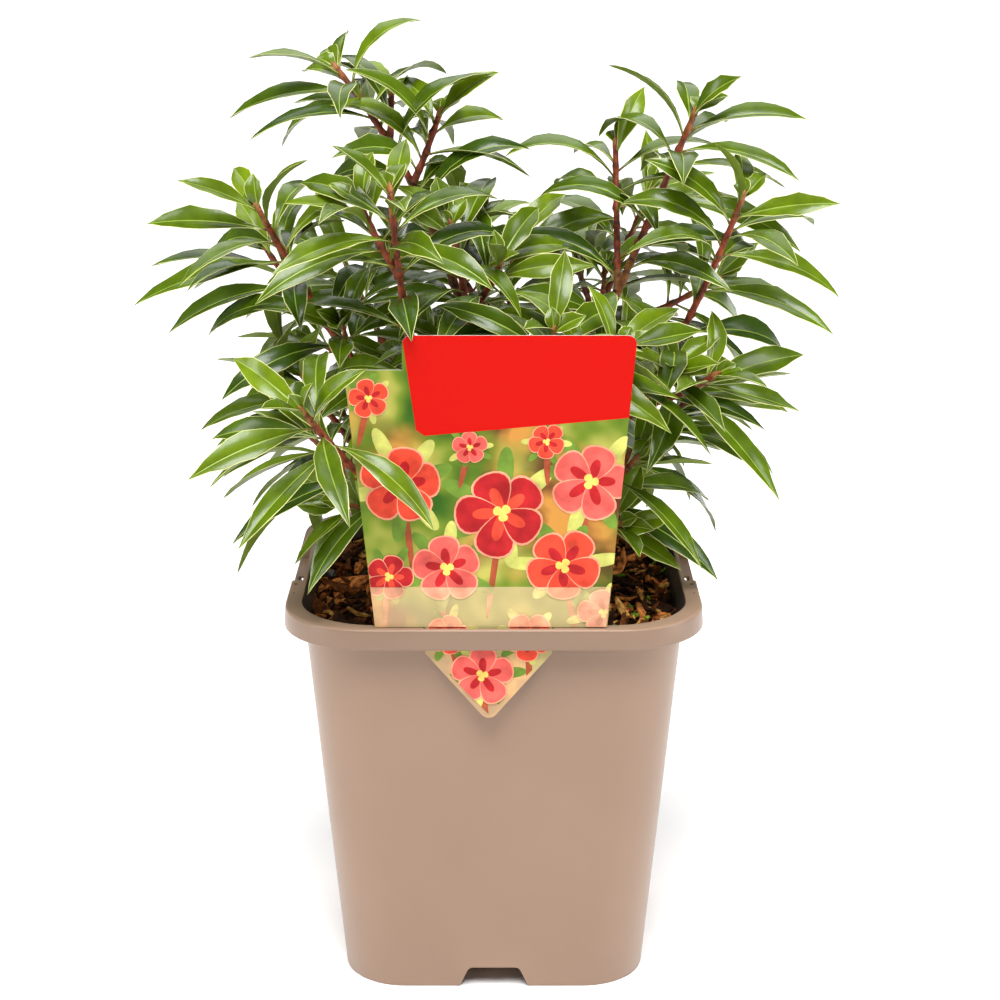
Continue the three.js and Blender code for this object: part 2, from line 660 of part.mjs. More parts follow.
function limbSamples(path, t0, radiusAt) {
  const steps = Math.ceil(path.length / SAMPLE_STEP);
  const samples = [];
  for (let step = 0; step <= steps; step += 1) {
    const t = THREE.MathUtils.lerp(t0, 1, step / steps);
    samples.push({ point: path.at(t).point, radius: radiusAt(t) });
  }
  return samples;
}

function growPlant() {
  const limbs = LIMBS.map((limb) => {
    const path = limbPath(limb);
    return { ...limb, path, sides: limb.shoots.map((shoot) => shootPath(path, shoot)) };
  });
  const wood = limbSamples(trunkPath(), 0, trunkRadius);
  for (const limb of limbs) {
    wood.push(...limbSamples(limb.path, 0, (t) => limbRadius(limb, t)));
    limb.sides.forEach((side) => wood.push(...limbSamples(side, 0, shootRadius)));
  }
  const leaves = [];
  limbs.forEach((limb, index) => {
    const random = seededRandom(1000 + index);
    const bareLength = limb.leafy * limb.path.length + LEAF_STEP;
    growLeaves(limb.name, limb.path, bareLength, limb.turn, random, wood, leaves);
    for (const side of limb.sides) {
      growLeaves(limb.name, side, LEAF_STEP / 2, 0, random, wood, leaves);
    }
  });
  return { limbs, leaves };
}

function boughGeometry(limb) {
  return limbGeometry(limb.path, 0, limb.leafy, (t) => limbRadius(limb, t), 6, 4);
}

function massGeometry(limb, leaves) {
  const start = limb.leafy + GAP / limb.path.length * 2;
  const parts = [toSolid(limbGeometry(limb.path, start, 1, (t) => limbRadius(limb, t), 3, 5))];
  for (const side of limb.sides) {
    parts.push(toSolid(limbGeometry(side, 0, 1, shootRadius, 3, 3)));
  }
  for (const leaf of leaves) {
    parts.push(toSolid(leafGeometry(leaf)));
  }
  return toGeometry(wasm.Manifold.union(parts).simplify(FUSE_ROUNDING));
}

function assemble() {
  const shrub = new THREE.Group();
  shrub.add(piece('pot', toGeometry(potShell()), plastic()));
  shrub.add(piece('compost', compostGeometry(), soil()));
  shrub.add(piece('label', labelGeometry(), card()));
  shrub.add(piece('trunk', trunkGeometry(), bark()));
  const { limbs, leaves } = growPlant();
  for (const limb of limbs) {
    const own = leaves.filter((leaf) => leaf.mass === limb.name);
    shrub.add(piece(`bough_${limb.name}`, boughGeometry(limb), bark()));
    shrub.add(piece(`foliage_${limb.name}`, massGeometry(limb, own), foliage()));
  }
  return shrub;
}

export default assemble();
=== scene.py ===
import functools
import json
import math

import bpy
import numpy as np
from bpy.props import FloatProperty, FloatVectorProperty, IntProperty, PointerProperty
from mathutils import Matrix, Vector

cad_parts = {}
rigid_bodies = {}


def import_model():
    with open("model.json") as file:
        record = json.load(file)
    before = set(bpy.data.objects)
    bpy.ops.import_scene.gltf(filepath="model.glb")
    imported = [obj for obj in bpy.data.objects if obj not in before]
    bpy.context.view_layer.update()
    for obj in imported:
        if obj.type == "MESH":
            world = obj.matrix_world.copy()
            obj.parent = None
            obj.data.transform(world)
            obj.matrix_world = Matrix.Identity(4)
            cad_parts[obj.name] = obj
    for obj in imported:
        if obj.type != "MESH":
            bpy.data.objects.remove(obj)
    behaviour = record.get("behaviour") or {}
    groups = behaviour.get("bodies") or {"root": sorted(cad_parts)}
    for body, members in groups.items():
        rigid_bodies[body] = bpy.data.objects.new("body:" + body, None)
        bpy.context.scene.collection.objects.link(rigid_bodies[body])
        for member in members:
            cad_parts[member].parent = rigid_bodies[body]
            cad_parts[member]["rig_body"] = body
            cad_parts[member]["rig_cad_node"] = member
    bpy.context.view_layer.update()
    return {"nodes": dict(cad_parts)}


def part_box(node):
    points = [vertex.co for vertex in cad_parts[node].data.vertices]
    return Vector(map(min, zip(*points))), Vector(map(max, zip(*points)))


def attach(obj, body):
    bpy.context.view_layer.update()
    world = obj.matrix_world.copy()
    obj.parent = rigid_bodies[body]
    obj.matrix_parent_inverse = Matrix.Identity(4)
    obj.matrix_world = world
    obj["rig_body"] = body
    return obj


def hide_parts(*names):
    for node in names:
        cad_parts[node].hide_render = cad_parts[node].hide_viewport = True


bl_info = {
    "name": "Potted pieris shrub",
    "version": (1, 0, 0),
    "blender": (4, 5, 0),
    "location": "3D View > Sidebar > Shrub",
    "description": "A young variegated shrub in a square nursery pot, with compost and a picture label",
    "category": "Object",
}

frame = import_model()
MM = 0.001

LIMB_NAMES = [name[len("bough_") :] for name in sorted(frame["nodes"]) if name.startswith("bough_")]
POT_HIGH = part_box("pot")[1]
LABEL_LOW, LABEL_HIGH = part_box("label")
COMPOST_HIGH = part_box("compost")[1]
LIP_OVERHANG = 0.4 * MM  # how far the rim's lower lip stands out past its top


# ---- settings ------------------------------------------------------------------------------


def size(name, description, default):
    """A length that is shown in metres."""
    return FloatProperty(name=name, description=description, default=default, unit="LENGTH", precision=4)


def strength_of(name, description, default, unit="NONE"):
    """How strong a light is."""
    return FloatProperty(name=name, description=description, default=default, unit=unit, min=0)


def angle_of(name, description, degrees):
    """An angle that is shown in degrees."""
    return FloatProperty(
        name=name, description=description, default=math.radians(degrees), min=0, subtype="ANGLE"
    )


def colour(name, description, default):
    """A plain colour."""
    return FloatVectorProperty(
        name=name, description=description, default=default, subtype="COLOR", size=3, min=0, max=1
    )


class PotSettings(bpy.types.PropertyGroup):
    height: size("Height", "From the ground to the top of the rim", POT_HIGH.z)
    rim_half: size("Half rim", "Half the rim's width, at its top", POT_HIGH.x - LIP_OVERHANG)
    foot_half: size("Half foot", "Half the width of the wall at the ground", 55.6 * MM)
    neck_half: size("Half neck", "Half the width of the wall under the rim", 68 * MM)
    mouth_half: size("Half mouth", "Half the width of the opening", 68.8 * MM)
    corner: size("Corner", "Corner radius at the neck", 28 * MM)
    wall: size("Wall", "Thickness of the wall", 1.6 * MM)
    rim_height: size("Rim height", "Height of the rim's outer face", 7.5 * MM)
    plastic: colour("Plastic", "Colour of the moulded plastic", (0.283, 0.181, 0.122))


class CompostSettings(bpy.types.PropertyGroup):
    chips: IntProperty(name="Chips", description="How many bark chips lie on top", default=900, min=0)
    crumbs: IntProperty(name="Crumbs", description="How many crumbs lie between them", default=1500, min=0)
    chip_length: size("Chip length", "Length of the longest chip", 22 * MM)
    dark: colour("Dark bark", "Colour of the wet compost", (0.022, 0.009, 0.004))
    brown: colour("Brown bark", "Colour of most chips", (0.135, 0.041, 0.01))
    orange: colour("Fresh bark", "Colour of the chips' fresh faces", (0.56, 0.185, 0.046))


class LabelSettings(bpy.types.PropertyGroup):
    header: colour("Header", "Colour of the bare header", (0.54, 0.003, 0.0004))
    card: colour("Card", "Colour of the card's edge and back", (0.72, 0.71, 0.66))
    thickness: size("Thickness", "Thickness of the card", 0.6 * MM)


class WoodSettings(bpy.types.PropertyGroup):
    old: colour("Old bark", "Colour of the trunk and the lowest wood", (0.08, 0.036, 0.016))
    grown: colour("Grown bark", "Colour of the boughs", (0.17, 0.062, 0.016))
    young: colour("Young bark", "Colour of the shoots", (0.18, 0.03, 0.008))
    relief: size("Relief", "Height of the leaf scars", 0.55 * MM)


class LeafSettings(bpy.types.PropertyGroup):
    blade: colour("Blade", "Colour of a grown leaf", (0.078, 0.135, 0.0008))
    dark: colour("Dark blade", "Colour of the oldest leaves", (0.031, 0.068, 0.001))
    fresh: colour("Fresh blade", "Colour of the young leaves", (0.155, 0.235, 0.004))
    margin: colour("Margin", "Colour of the pale edge", (0.6, 0.6, 0.22))
    rib: colour("Midrib", "Colour of the midrib", (0.26, 0.36, 0.035))
    under: colour("Underside", "Colour of the underside", (0.15, 0.21, 0.02))
    margin_width: size("Margin width", "Width of the pale edge", 0.23 * MM)


class StageSettings(bpy.types.PropertyGroup):
    floor: colour("Floor", "Colour of the floor", (0.96, 0.96, 0.96))
    sky: strength_of("Surround", "Strength of the even light all round", 0.1)
    overhead: strength_of("Overhead", "Strength of the light from above", 4.2)
    behind: strength_of("Behind", "Strength of the light from behind", 1.1)
    softness: angle_of("Softness", "Width of the light from above", 37)
    sides: strength_of("Sides", "Strength of the boxes at the sides", 6, "POWER")
    lens: FloatProperty(name="Lens", description="Focal length", default=82.1, unit="CAMERA")
    camera: FloatVectorProperty(
        name="Camera", description="Place of the camera", default=(2.24 * MM, -818 * MM, 408 * MM),
        subtype="TRANSLATION", unit="LENGTH", size=3,
    )
    pitch: angle_of("Pitch", "How far the camera looks down", 16.12)


SETTINGS = {
    "pot_settings": PotSettings,
    "compost_settings": CompostSettings,
    "label_settings": LabelSettings,
    "wood_settings": WoodSettings,
    "leaf_settings": LeafSettings,
    "stage_settings": StageSettings,
}


# ---- materials -----------------------------------------------------------------------------


def principled(name, **values):
    """A material with a Principled shader, whose constants sit on its own sockets."""
    material = bpy.data.materials.new(name)
    material.use_nodes = True
    shader = material.node_tree.nodes["Principled BSDF"]
    for socket, value in values.items():
        socket = socket.replace("_", " ")
        if socket == "Base Color":
            value = (*value, 1)
            material.diffuse_color = value
        shader.inputs[socket].default_value = value
    return material, shader


def noise_node(material, scale, detail=3):
    """A noise over the piece's own coordinates."""
    place = material.node_tree.nodes.new("ShaderNodeTexCoord")
    pattern = material.node_tree.nodes.new("ShaderNodeTexNoise")
    pattern.inputs["Scale"].default_value = scale
    pattern.inputs["Detail"].default_value = detail
    material.node_tree.links.new(place.outputs["Object"], pattern.inputs["Vector"])
    return pattern


def ramp_node(material, source, stops):
    """Turns a pattern into colours, each stop (place, colour)."""
    ramp = material.node_tree.nodes.new("ShaderNodeValToRGB")
    elements = ramp.color_ramp.elements
    while len(elements) < len(stops):
        elements.new(0.5)
    for element, (place, tint) in zip(elements, stops):
        element.position = place
        element.color = (*tint, 1)
    material.node_tree.links.new(source.outputs["Fac"], ramp.inputs["Fac"])
    return ramp


def add_bump(material, shader, source, strength, distance):
    """Raises the surface by a pattern."""
    bump = material.node_tree.nodes.new("ShaderNodeBump")
    bump.inputs["Strength"].default_value = strength
    bump.inputs["Distance"].default_value = distance
    material.node_tree.links.new(source.outputs["Fac"], bump.inputs["Height"])
    material.node_tree.links.new(bump.outputs["Normal"], shader.inputs["Normal"])


def shade(tint, factor):
    """A colour made darker or lighter."""
    return tuple(min(1, channel * factor) for channel in tint)


def mottled(name, tint, roughness, *, spread=0.25, scale=60, grain=900, bump=0.2, depth=0.2 * MM, **values):
    """A material whose colour wanders a little, with a fine relief."""
    material, shader = principled(name, Base_Color=tint, Roughness=roughness, **values)
    stops = [(0.3, shade(tint, 1 - spread)), (0.7, shade(tint, 1 + spread))]
    ramp = ramp_node(material, noise_node(material, scale), stops)
    material.node_tree.links.new(ramp.outputs["Color"], shader.inputs["Base Color"])
    add_bump(material, shader, noise_node(material, grain, 4), bump, depth)
    return material


# ---- meshes --------------------------------------------------------------------------------


def deselect():
    """Leaves nothing selected, in object mode."""
    if bpy.context.object and bpy.context.object.mode != "OBJECT":
        bpy.ops.object.mode_set(mode="OBJECT")
    bpy.ops.object.select_all(action="DESELECT")


def only(*pieces):
    """Selects these pieces alone, the first of them active."""
    deselect()
    for piece in pieces:
        piece.select_set(True)
    bpy.context.view_layer.objects.active = pieces[0]


def edit(piece, kind="VERT"):
    """Opens a piece in edit mode."""
    only(piece)
    bpy.ops.object.mode_set(mode="EDIT")
    bpy.ops.mesh.select_mode(type=kind)


def settle(piece, name, materials=(), angle=None):
    """Puts a finished piece's place into its mesh and gives it its name, materials and body."""
    only(piece)
    bpy.ops.object.transform_apply(location=True, rotation=True, scale=True)
    piece.name = piece.data.name = name
    for material in materials:
        piece.data.materials.append(material)
    if angle is not None:
        bpy.ops.object.shade_smooth_by_angle(angle=math.radians(angle))
    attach(piece, "root")


def apply_modifier(piece, kind, **values):
    """Shapes a piece with one modifier."""
    modifier = piece.modifiers.new(kind.title(), kind)
    for key, value in values.items():
        setattr(modifier, key, value)
    only(piece)
    bpy.ops.object.modifier_apply(modifier=modifier.name)


def cut(piece, cutter, operation="DIFFERENCE"):
    """Cuts one piece with another, or adds it."""
    apply_modifier(piece, "BOOLEAN", object=cutter, operation=operation, solver="EXACT")
    only(cutter)
    bpy.ops.object.delete()


def block(low, high):
    """A box between two corners, in metres."""
    deselect()
    low, high = Vector(low), Vector(high)
    bpy.ops.mesh.primitive_cube_add(size=1, location=(low + high) / 2)
    bpy.context.object.scale = high - low
    bpy.ops.object.transform_apply(location=True, rotation=False, scale=True)
    return bpy.context.object


def joined_mesh(name, parts, smooth=True):
    """One object from many parts, each (vertices, faces, material of each face, sharp edges)."""
    vertices, faces, kinds, sharp = [], [], [], set()
    for part_vertices, part_faces, part_kinds, part_sharp in parts:
        start = len(vertices)
        vertices.extend(part_vertices)
        faces.extend([tuple(start + index for index in face) for face in part_faces])
        kinds.extend(part_kinds)
        sharp.update(tuple(sorted((start + a, start + b))) for a, b in part_sharp)
    mesh = bpy.data.meshes.new(name)
    mesh.from_pydata(vertices, [], faces)
    mesh.polygons.foreach_set("material_index", kinds)
    mesh.polygons.foreach_set("use_smooth", [smooth] * len(faces))
    if sharp:
        edges = mesh.attributes.new("sharp_edge", "BOOLEAN", "EDGE")
        edges.data.foreach_set("value", [tuple(sorted(edge.vertices)) in sharp for edge in mesh.edges])
    mesh.update()
    piece = bpy.data.objects.new(name, mesh)
    bpy.context.scene.collection.objects.link(piece)
    return piece


def tube_faces(rings, sides):
    """Faces of a closed tube from ring to ring, then round its foot and its tip, the last two points."""
    around = [(i, (i + 1) % sides) for i in range(sides)]
    last, foot, tip = (rings - 1) * sides, rings * sides, rings * sides + 1
    faces = [
        (start + i, start + j, start + sides + j, start + sides + i)
        for start in range(0, last, sides) for i, j in around
    ]
    faces += [(foot, j, i) for i, j in around]
    faces += [(tip, last + i, last + j) for i, j in around]
    return faces


# ---- pot -----------------------------------------------------------------------------------

FLOOR_UNDER = 9 * MM
FLOOR_SHEET = 2 * MM
RIM_SHEET = 1.8 * MM
LEDGE = 137 * MM
POCKET = (-19 * MM, 23 * MM)
POCKET_FLOOR = 141.4 * MM
POCKET_SHEET = 0.8 * MM
POCKET_HOLE = (-9 * MM, 1 * MM)
POCKET_HOLE_HALF = 1.1 * MM
CORNER_SEGMENTS = 14
GROOVE_ROUND = 0.4 * MM
LIP_ROUND = 0.7 * MM
RIM_ROUND = 0.8 * MM
MOUTH_ROUND = 0.5 * MM
NOTCH_HEIGHT = 8 * MM
NOTCH_FOOT_HALF = 13.2 * MM
NOTCH_TOP_HALF = 9.2 * MM
NOTCH_ROUND = 1.4 * MM
DRAIN_PLACE = 31 * MM
DRAIN_RADIUS = 5 * MM
PAD_RADIUS = 14 * MM
DOTS = ((-33.7, 0.5), (-23.4, 0.8), (25.4, 0.6), (49, 0.5))  # y and radius of the dots in the rim's sides
TONGUE_CENTRE = -1.7 * MM
TONGUE_HALF = 22 * MM
SLOT_ROOM = 0.6 * MM  # beside the tongue
SLOT_HALF = 0.9 * MM
# The collar's outer face gets a darker copy of the plastic: painted shade.
# The inside above the compost gets a very dark copy of the plastic: soil stain together with painted shade.
# The rim's top gets a paler copy of the plastic: painted light.
SHADED_COLLAR, STAINED_AND_SHADED, LIT_RIM_TOP = 1, 2, 3  # materials of its faces; the plain wall is 0


def wall_half(pot, height):
    """Half the outer width of the pot's wall at a height."""
    share = height / (pot.height - pot.rim_height)
    return pot.foot_half + (pot.neck_half - pot.foot_half) * share


def quarter(centre, radius, start, steps):
    """Points of a quarter circle in the section, from an angle on, turning left."""
    angles = [math.radians(start + 90 * step / steps) for step in range(steps + 1)]
    return [(centre[0] + radius * math.cos(a), centre[1] + radius * math.sin(a)) for a in angles]


def pot_section(pot):
    """The section from the underside's edge round the foot, the wall and the rim to the inner floor."""
    neck = pot.height - pot.rim_height
    rim, top, wall = pot.rim_half, pot.height, pot.wall
    lip = rim + LIP_OVERHANG
    groove_in = pot.mouth_half + wall
    groove_out = rim - RIM_SHEET
    foot = pot.foot_half
    return [
        (wall_half(pot, FLOOR_UNDER) - wall, FLOOR_UNDER),
        (foot - wall, 0.5 * MM),
        (foot - wall + 0.5 * MM, 0),
        (foot - 0.7 * MM, 0),
        (foot - 0.2 * MM, 0.2 * MM),
        (wall_half(pot, 0.8 * MM), 0.8 * MM),
        (wall_half(pot, 0.5 * neck), 0.5 * neck),
        (wall_half(pot, neck - 0.6 * MM), neck - 0.6 * MM),
        (pot.neck_half + 0.5 * MM, neck),
        (groove_in, neck),
        (groove_in, top - RIM_SHEET),
        (groove_out, top - RIM_SHEET),
        (groove_out, neck + GROOVE_ROUND),
        *quarter((groove_out + GROOVE_ROUND, neck + GROOVE_ROUND), GROOVE_ROUND, 180, 2),
        *quarter((lip - LIP_ROUND, neck + LIP_ROUND), LIP_ROUND, -90, 4),
        *quarter((rim - RIM_ROUND, top - RIM_ROUND), RIM_ROUND, 0, 5),
        *quarter((pot.mouth_half + MOUTH_ROUND, top - MOUTH_ROUND), MOUTH_ROUND, 90, 4),
        (pot.mouth_half - 0.5 * MM, top - 2 * MM),
        (wall_half(pot, LEDGE) - wall + 0.6 * MM, LEDGE + 0.4 * MM),
        (wall_half(pot, LEDGE) - wall, LEDGE - 0.4 * MM),
        (wall_half(pot, FLOOR_UNDER + FLOOR_SHEET) - wall, FLOOR_UNDER + FLOOR_SHEET),
    ]


def ring_half(pot, x, y):
    """Half the width of the rounded square round the pot's middle that a point lies on."""
    x, y = max(abs(x), abs(y)), min(abs(x), abs(y))
    corner = pot.corner / pot.neck_half
    flat = 1 - corner
    if y <= x * flat:
        return x
    curve = 2 * flat**2 - corner**2
    middle = flat * (x + y)
    return (middle - math.sqrt(max(0.0, middle**2 - curve * (x**2 + y**2)))) / curve


def pot_body(pot):
    """A rounded square, extruded and widened ring by ring along the section."""
    deselect()
    section = pot_section(pot)
    half, height = section[0]
    bpy.ops.mesh.primitive_plane_add(size=2 * half, location=(0, 0, height))
    body = bpy.context.object
    edit(body)
    bpy.ops.mesh.select_all(action="SELECT")
    bpy.ops.mesh.bevel(
        offset=pot.corner * half / pot.neck_half, segments=CORNER_SEGMENTS, affect="VERTICES", profile=0.5
    )
    bpy.ops.mesh.select_mode(type="FACE")
    bpy.ops.mesh.select_all(action="SELECT")
    for next_half, next_height in section[1:]:
        step = (0, 0, next_height - height)
        bpy.ops.mesh.extrude_region_move(TRANSFORM_OT_translate={"value": step})
        scale = next_half / half
        bpy.ops.transform.resize(value=(scale, scale, 1), center_override=(0, 0, next_height))
        half, height = next_half, next_height
    bpy.ops.mesh.select_all(action="SELECT")
    bpy.ops.mesh.normals_make_consistent(inside=False)
    bpy.ops.object.mode_set(mode="OBJECT")
    return body


def notch_cutter(pot, turn):
    """A bar right through the pot's feet, narrower at its top, with rounded upper corners."""
    reach = pot.neck_half
    bar = block((-NOTCH_FOOT_HALF, -reach, -MM), (NOTCH_FOOT_HALF, reach, NOTCH_HEIGHT))
    edit(bar, "FACE")
    bpy.ops.mesh.select_all(action="DESELECT")
    bpy.ops.object.mode_set(mode="OBJECT")
    for face in bar.data.polygons:
        face.select = face.normal.z > 0.9
    bpy.ops.object.mode_set(mode="EDIT")
    bpy.ops.transform.resize(value=(NOTCH_TOP_HALF / NOTCH_FOOT_HALF, 1, 1), center_override=(0, 0, 0))
    bpy.ops.mesh.select_mode(type="EDGE")
    bpy.ops.mesh.select_all(action="DESELECT")
    bpy.ops.object.mode_set(mode="OBJECT")
    for edge in bar.data.edges:
        ends = [bar.data.vertices[index].co for index in edge.vertices]
        edge.select = min(end.z for end in ends) > NOTCH_HEIGHT / 2 and abs(ends[0].y - ends[1].y) > reach
    bpy.ops.object.mode_set(mode="EDIT")
    bpy.ops.mesh.bevel(offset=NOTCH_ROUND, segments=5, affect="EDGES")
    bpy.ops.object.mode_set(mode="OBJECT")
    bar.rotation_euler.z = turn
    bpy.ops.object.transform_apply(location=False, rotation=True, scale=False)
    return bar


def cylinder(radius, low, high, x, y, sides=32):
    """An upright cylinder between two heights."""
    deselect()
    bpy.ops.mesh.primitive_cylinder_add(
        vertices=sides, radius=radius, depth=high - low, location=(x, y, (low + high) / 2)
    )
    return bpy.context.object


def carve_rim(body, pot):
    """The two side pockets with their small holes, the dots, and the slot for the label's tongue."""
    inner = pot.mouth_half + pot.wall
    outer = pot.rim_half
    for side in (-1, 1):
        ends = sorted((side * (pot.mouth_half + MM), side * (outer - MM)))
        cut(body, block(
            (ends[0], POCKET[0] - RIM_SHEET, POCKET_FLOOR - POCKET_SHEET),
            (ends[1], POCKET[1] + RIM_SHEET, pot.height - MM),
        ), "UNION")
    for side in (-1, 1):
        ends = sorted((side * inner, side * (outer + MM)))
        pocket = block((ends[0], POCKET[0], POCKET_FLOOR), (ends[1], POCKET[1], pot.height + MM))
        cut(body, pocket)
        middle = side * (inner + outer) / 2
        cut(body, block(
            (middle - POCKET_HOLE_HALF, POCKET_HOLE[0], POCKET_FLOOR - RIM_SHEET),
            (middle + POCKET_HOLE_HALF, POCKET_HOLE[1], POCKET_FLOOR + MM),
        ))
    dots = [
        cylinder(radius * MM, pot.height - MM, pot.height + MM, side * (inner + outer) / 2, y * MM, 8)
        for side in (-1, 1) for y, radius in DOTS
    ]
    only(*dots)
    bpy.ops.object.join()
    cut(body, bpy.context.object)
    middle = (LABEL_LOW.y + LABEL_HIGH.y) / 2
    cut(body, block(
        (TONGUE_CENTRE - TONGUE_HALF - SLOT_ROOM, middle - SLOT_HALF, pot.height - RIM_SHEET - MM),
        (TONGUE_CENTRE + TONGUE_HALF + SLOT_ROOM, middle + SLOT_HALF, pot.height + MM),
    ))


def pot_materials(pot):
    """Plain wall, collar darkened as painted shade, inside darkened as soil stain and painted shade, and the
    rim's top made paler as painted light.
    """
    finish = {"spread": 0.04, "scale": 18, "grain": 2600, "bump": 0.06, "depth": 0.06 * MM}
    finish["Specular_IOR_Level"] = 0.4
    # soil stain with painted shade on the inner wall
    soiled_and_shaded = {"spread": 0.4, "scale": 90, "depth": 0.3 * MM}
    return [
        mottled("Taupe plastic", tuple(pot.plastic), 0.34, **finish),
        # painted shade: the same plastic, darker on the collar's outer face
        mottled("Shaded collar plastic", shade(pot.plastic, 0.84), 0.34, **finish),
        mottled("Stained and shaded plastic", shade(pot.plastic, 0.16), 0.6, **soiled_and_shaded),
        # painted light: the same plastic, paler on the rim's top
        mottled("Lit rim plastic", shade(pot.plastic, 1.2), 0.34, **finish),
    ]


class SHRUB_OT_pot(bpy.types.Operator):
    """Make the square plastic pot"""

    bl_idname = "shrub.pot"
    bl_label = "Pot"

    def execute(self, context):
        pot = context.scene.pot_settings
        body = pot_body(pot)
        cut(body, notch_cutter(pot, 0))
        cut(body, notch_cutter(pot, math.pi / 2))
        cut(body, cylinder(PAD_RADIUS, 0, FLOOR_UNDER + FLOOR_SHEET / 2, 0, 0), "UNION")
        for x in (-DRAIN_PLACE, DRAIN_PLACE):
            for y in (-DRAIN_PLACE, DRAIN_PLACE):
                cut(body, cylinder(DRAIN_RADIUS, FLOOR_UNDER - 2 * MM, FLOOR_UNDER + 4 * MM, x, y))
        carve_rim(body, pot)
        settle(body, "pot_shell", pot_materials(pot), angle=28)
        neck = pot.height - pot.rim_height
        for face in body.data.polygons:
            centre, normal = face.center, face.normal
            out = ring_half(pot, centre.x, centre.y)
            inward = normal.x * centre.x + normal.y * centre.y < 0
            # the collar's outer faces, with painted shade
            if centre.z > neck and normal.z < 0.5 and out > pot.mouth_half + 2.6 * MM:
                face.material_index = SHADED_COLLAR
            # the inner wall's faces, stained by soil and darkened as painted shade
            elif FLOOR_UNDER < centre.z < pot.height - 1.2 * MM and inward and out < pot.mouth_half:
                face.material_index = STAINED_AND_SHADED
            # the rim's top faces, with painted light
            elif centre.z > pot.height - 0.3 * MM:
                face.material_index = LIT_RIM_TOP
        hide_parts("pot")
        return {"FINISHED"}


# ---- compost -------------------------------------------------------------------------------


EDGE_FALL = 1.4 * MM
LEVEL_SHARE = 0.62  # the compost is level this far out


def surface_height(x, y, half):
    """Height of the compost's top at a point: level in the middle and lower at its edge, in metres."""
    out = max(abs(x), abs(y)) / half
    return COMPOST_HIGH.z - EDGE_FALL * max(0.0, (out - LEVEL_SHARE) / (1 - LEVEL_SHARE))


STATIONS = np.array([-0.5, -0.17, 0.17, 0.5])
STATION_WIDTHS = np.array([0.45, 0.95, 1.0, 0.4])
SHARD_EDGE = (0, 1, 2, 5, 8, 11, 10, 9, 6, 3)  # the points round one level


@functools.cache
def shard_faces():
    """Faces that every shard has: its two levels, and the strip round them."""
    faces = []
    for start, order in ((0, (0, 3, 4, 1)), (12, (0, 1, 4, 3))):
        for station in range(3):
            for side in range(2):
                corner = start + 3 * station + side
                faces.append(tuple(corner + step for step in order))
    for a, b in zip(SHARD_EDGE, SHARD_EDGE[1:] + SHARD_EDGE[:1]):
        faces.append((a, b, b + 12, a + 12))
    return faces


def shard(random, length, width, thickness):
    """A ragged splinter of bark along X, curled along and across: two levels of four ribs of three points."""
    curl = random.uniform(0.3, 1.5) * random.choice([-1, 1])
    widths = width / 2 * STATION_WIDTHS * random.uniform(0.7, 1.2, 4)
    skew = random.uniform(-0.12, 0.12, 4) * width
    ends = STATIONS + random.uniform(-0.07, 0.07, 4)
    along = length * np.sin(curl * ends) / curl
    rise = length * (1 - np.cos(curl * ends)) / curl
    crown = random.uniform(-0.2, 0.45) * width
    points = []
    for level in (0.5, -0.5):
        for station in range(4):
            for side in (-1, 0, 1):
                reach = side * widths[station] + skew[station] + random.uniform(-0.06, 0.06) * width
                lift = level * thickness + (1 - abs(side)) * crown * 0.5
                shift = random.uniform(-0.05, 0.05) * length
                points.append((along[station] + shift, reach, rise[station] + lift))
    return np.array(points)


def turned(random, points, tilt):
    """Turns points about Z by any angle, after a tilt about X and Y of up to a given angle."""
    angles = [random.uniform(-tilt, tilt), random.uniform(-tilt, tilt), random.uniform(0, 2 * math.pi)]
    (sx, sy, sz), (cx, cy, cz) = np.sin(angles), np.cos(angles)
    about_x = np.array([[1, 0, 0], [0, cx, -sx], [0, sx, cx]])
    about_y = np.array([[cy, 0, sy], [0, 1, 0], [-sy, 0, cy]])
    about_z = np.array([[cz, -sz, 0], [sz, cz, 0], [0, 0, 1]])
    return points @ (about_z @ about_y @ about_x).T


def kept_inside(points, half, corner):
    """Points moved in to a rounded square where they are outside it."""
    flat = points[:, :2]
    middle = np.minimum(abs(flat), half - corner)
    out = abs(flat) - middle
    reach = np.maximum(np.linalg.norm(out, axis=1, keepdims=True), 1e-9)
    inside = np.sign(flat) * (middle + out * np.minimum(1, corner / reach))
    return np.column_stack([inside, points[:, 2]])


PALE, GREEN_SCRAP, STONE = 3, 4, 5  # materials after the dark, brown and fresh bark
GREEN_SHARE = 0.1  # of the pieces at the right

# How the pieces lie: width against length, tilt in radians, height of the middle, and share of each bark.
CHIPS = {"slender": (0.12, 0.4), "tilt": 0.55, "lift": (-1 * MM, 3.4 * MM), "kinds": [0.38, 0.34, 0.22, 0.06]}
CRUMBS = {"slender": (0.4, 0.9), "tilt": 1.2, "lift": (-1 * MM, 2.2 * MM), "kinds": [0.44, 0.37, 0.18, 0.01]}
CHIP_SHORTEST = 5 * MM
CRUMB_LENGTHS = (1 * MM, 4 * MM)


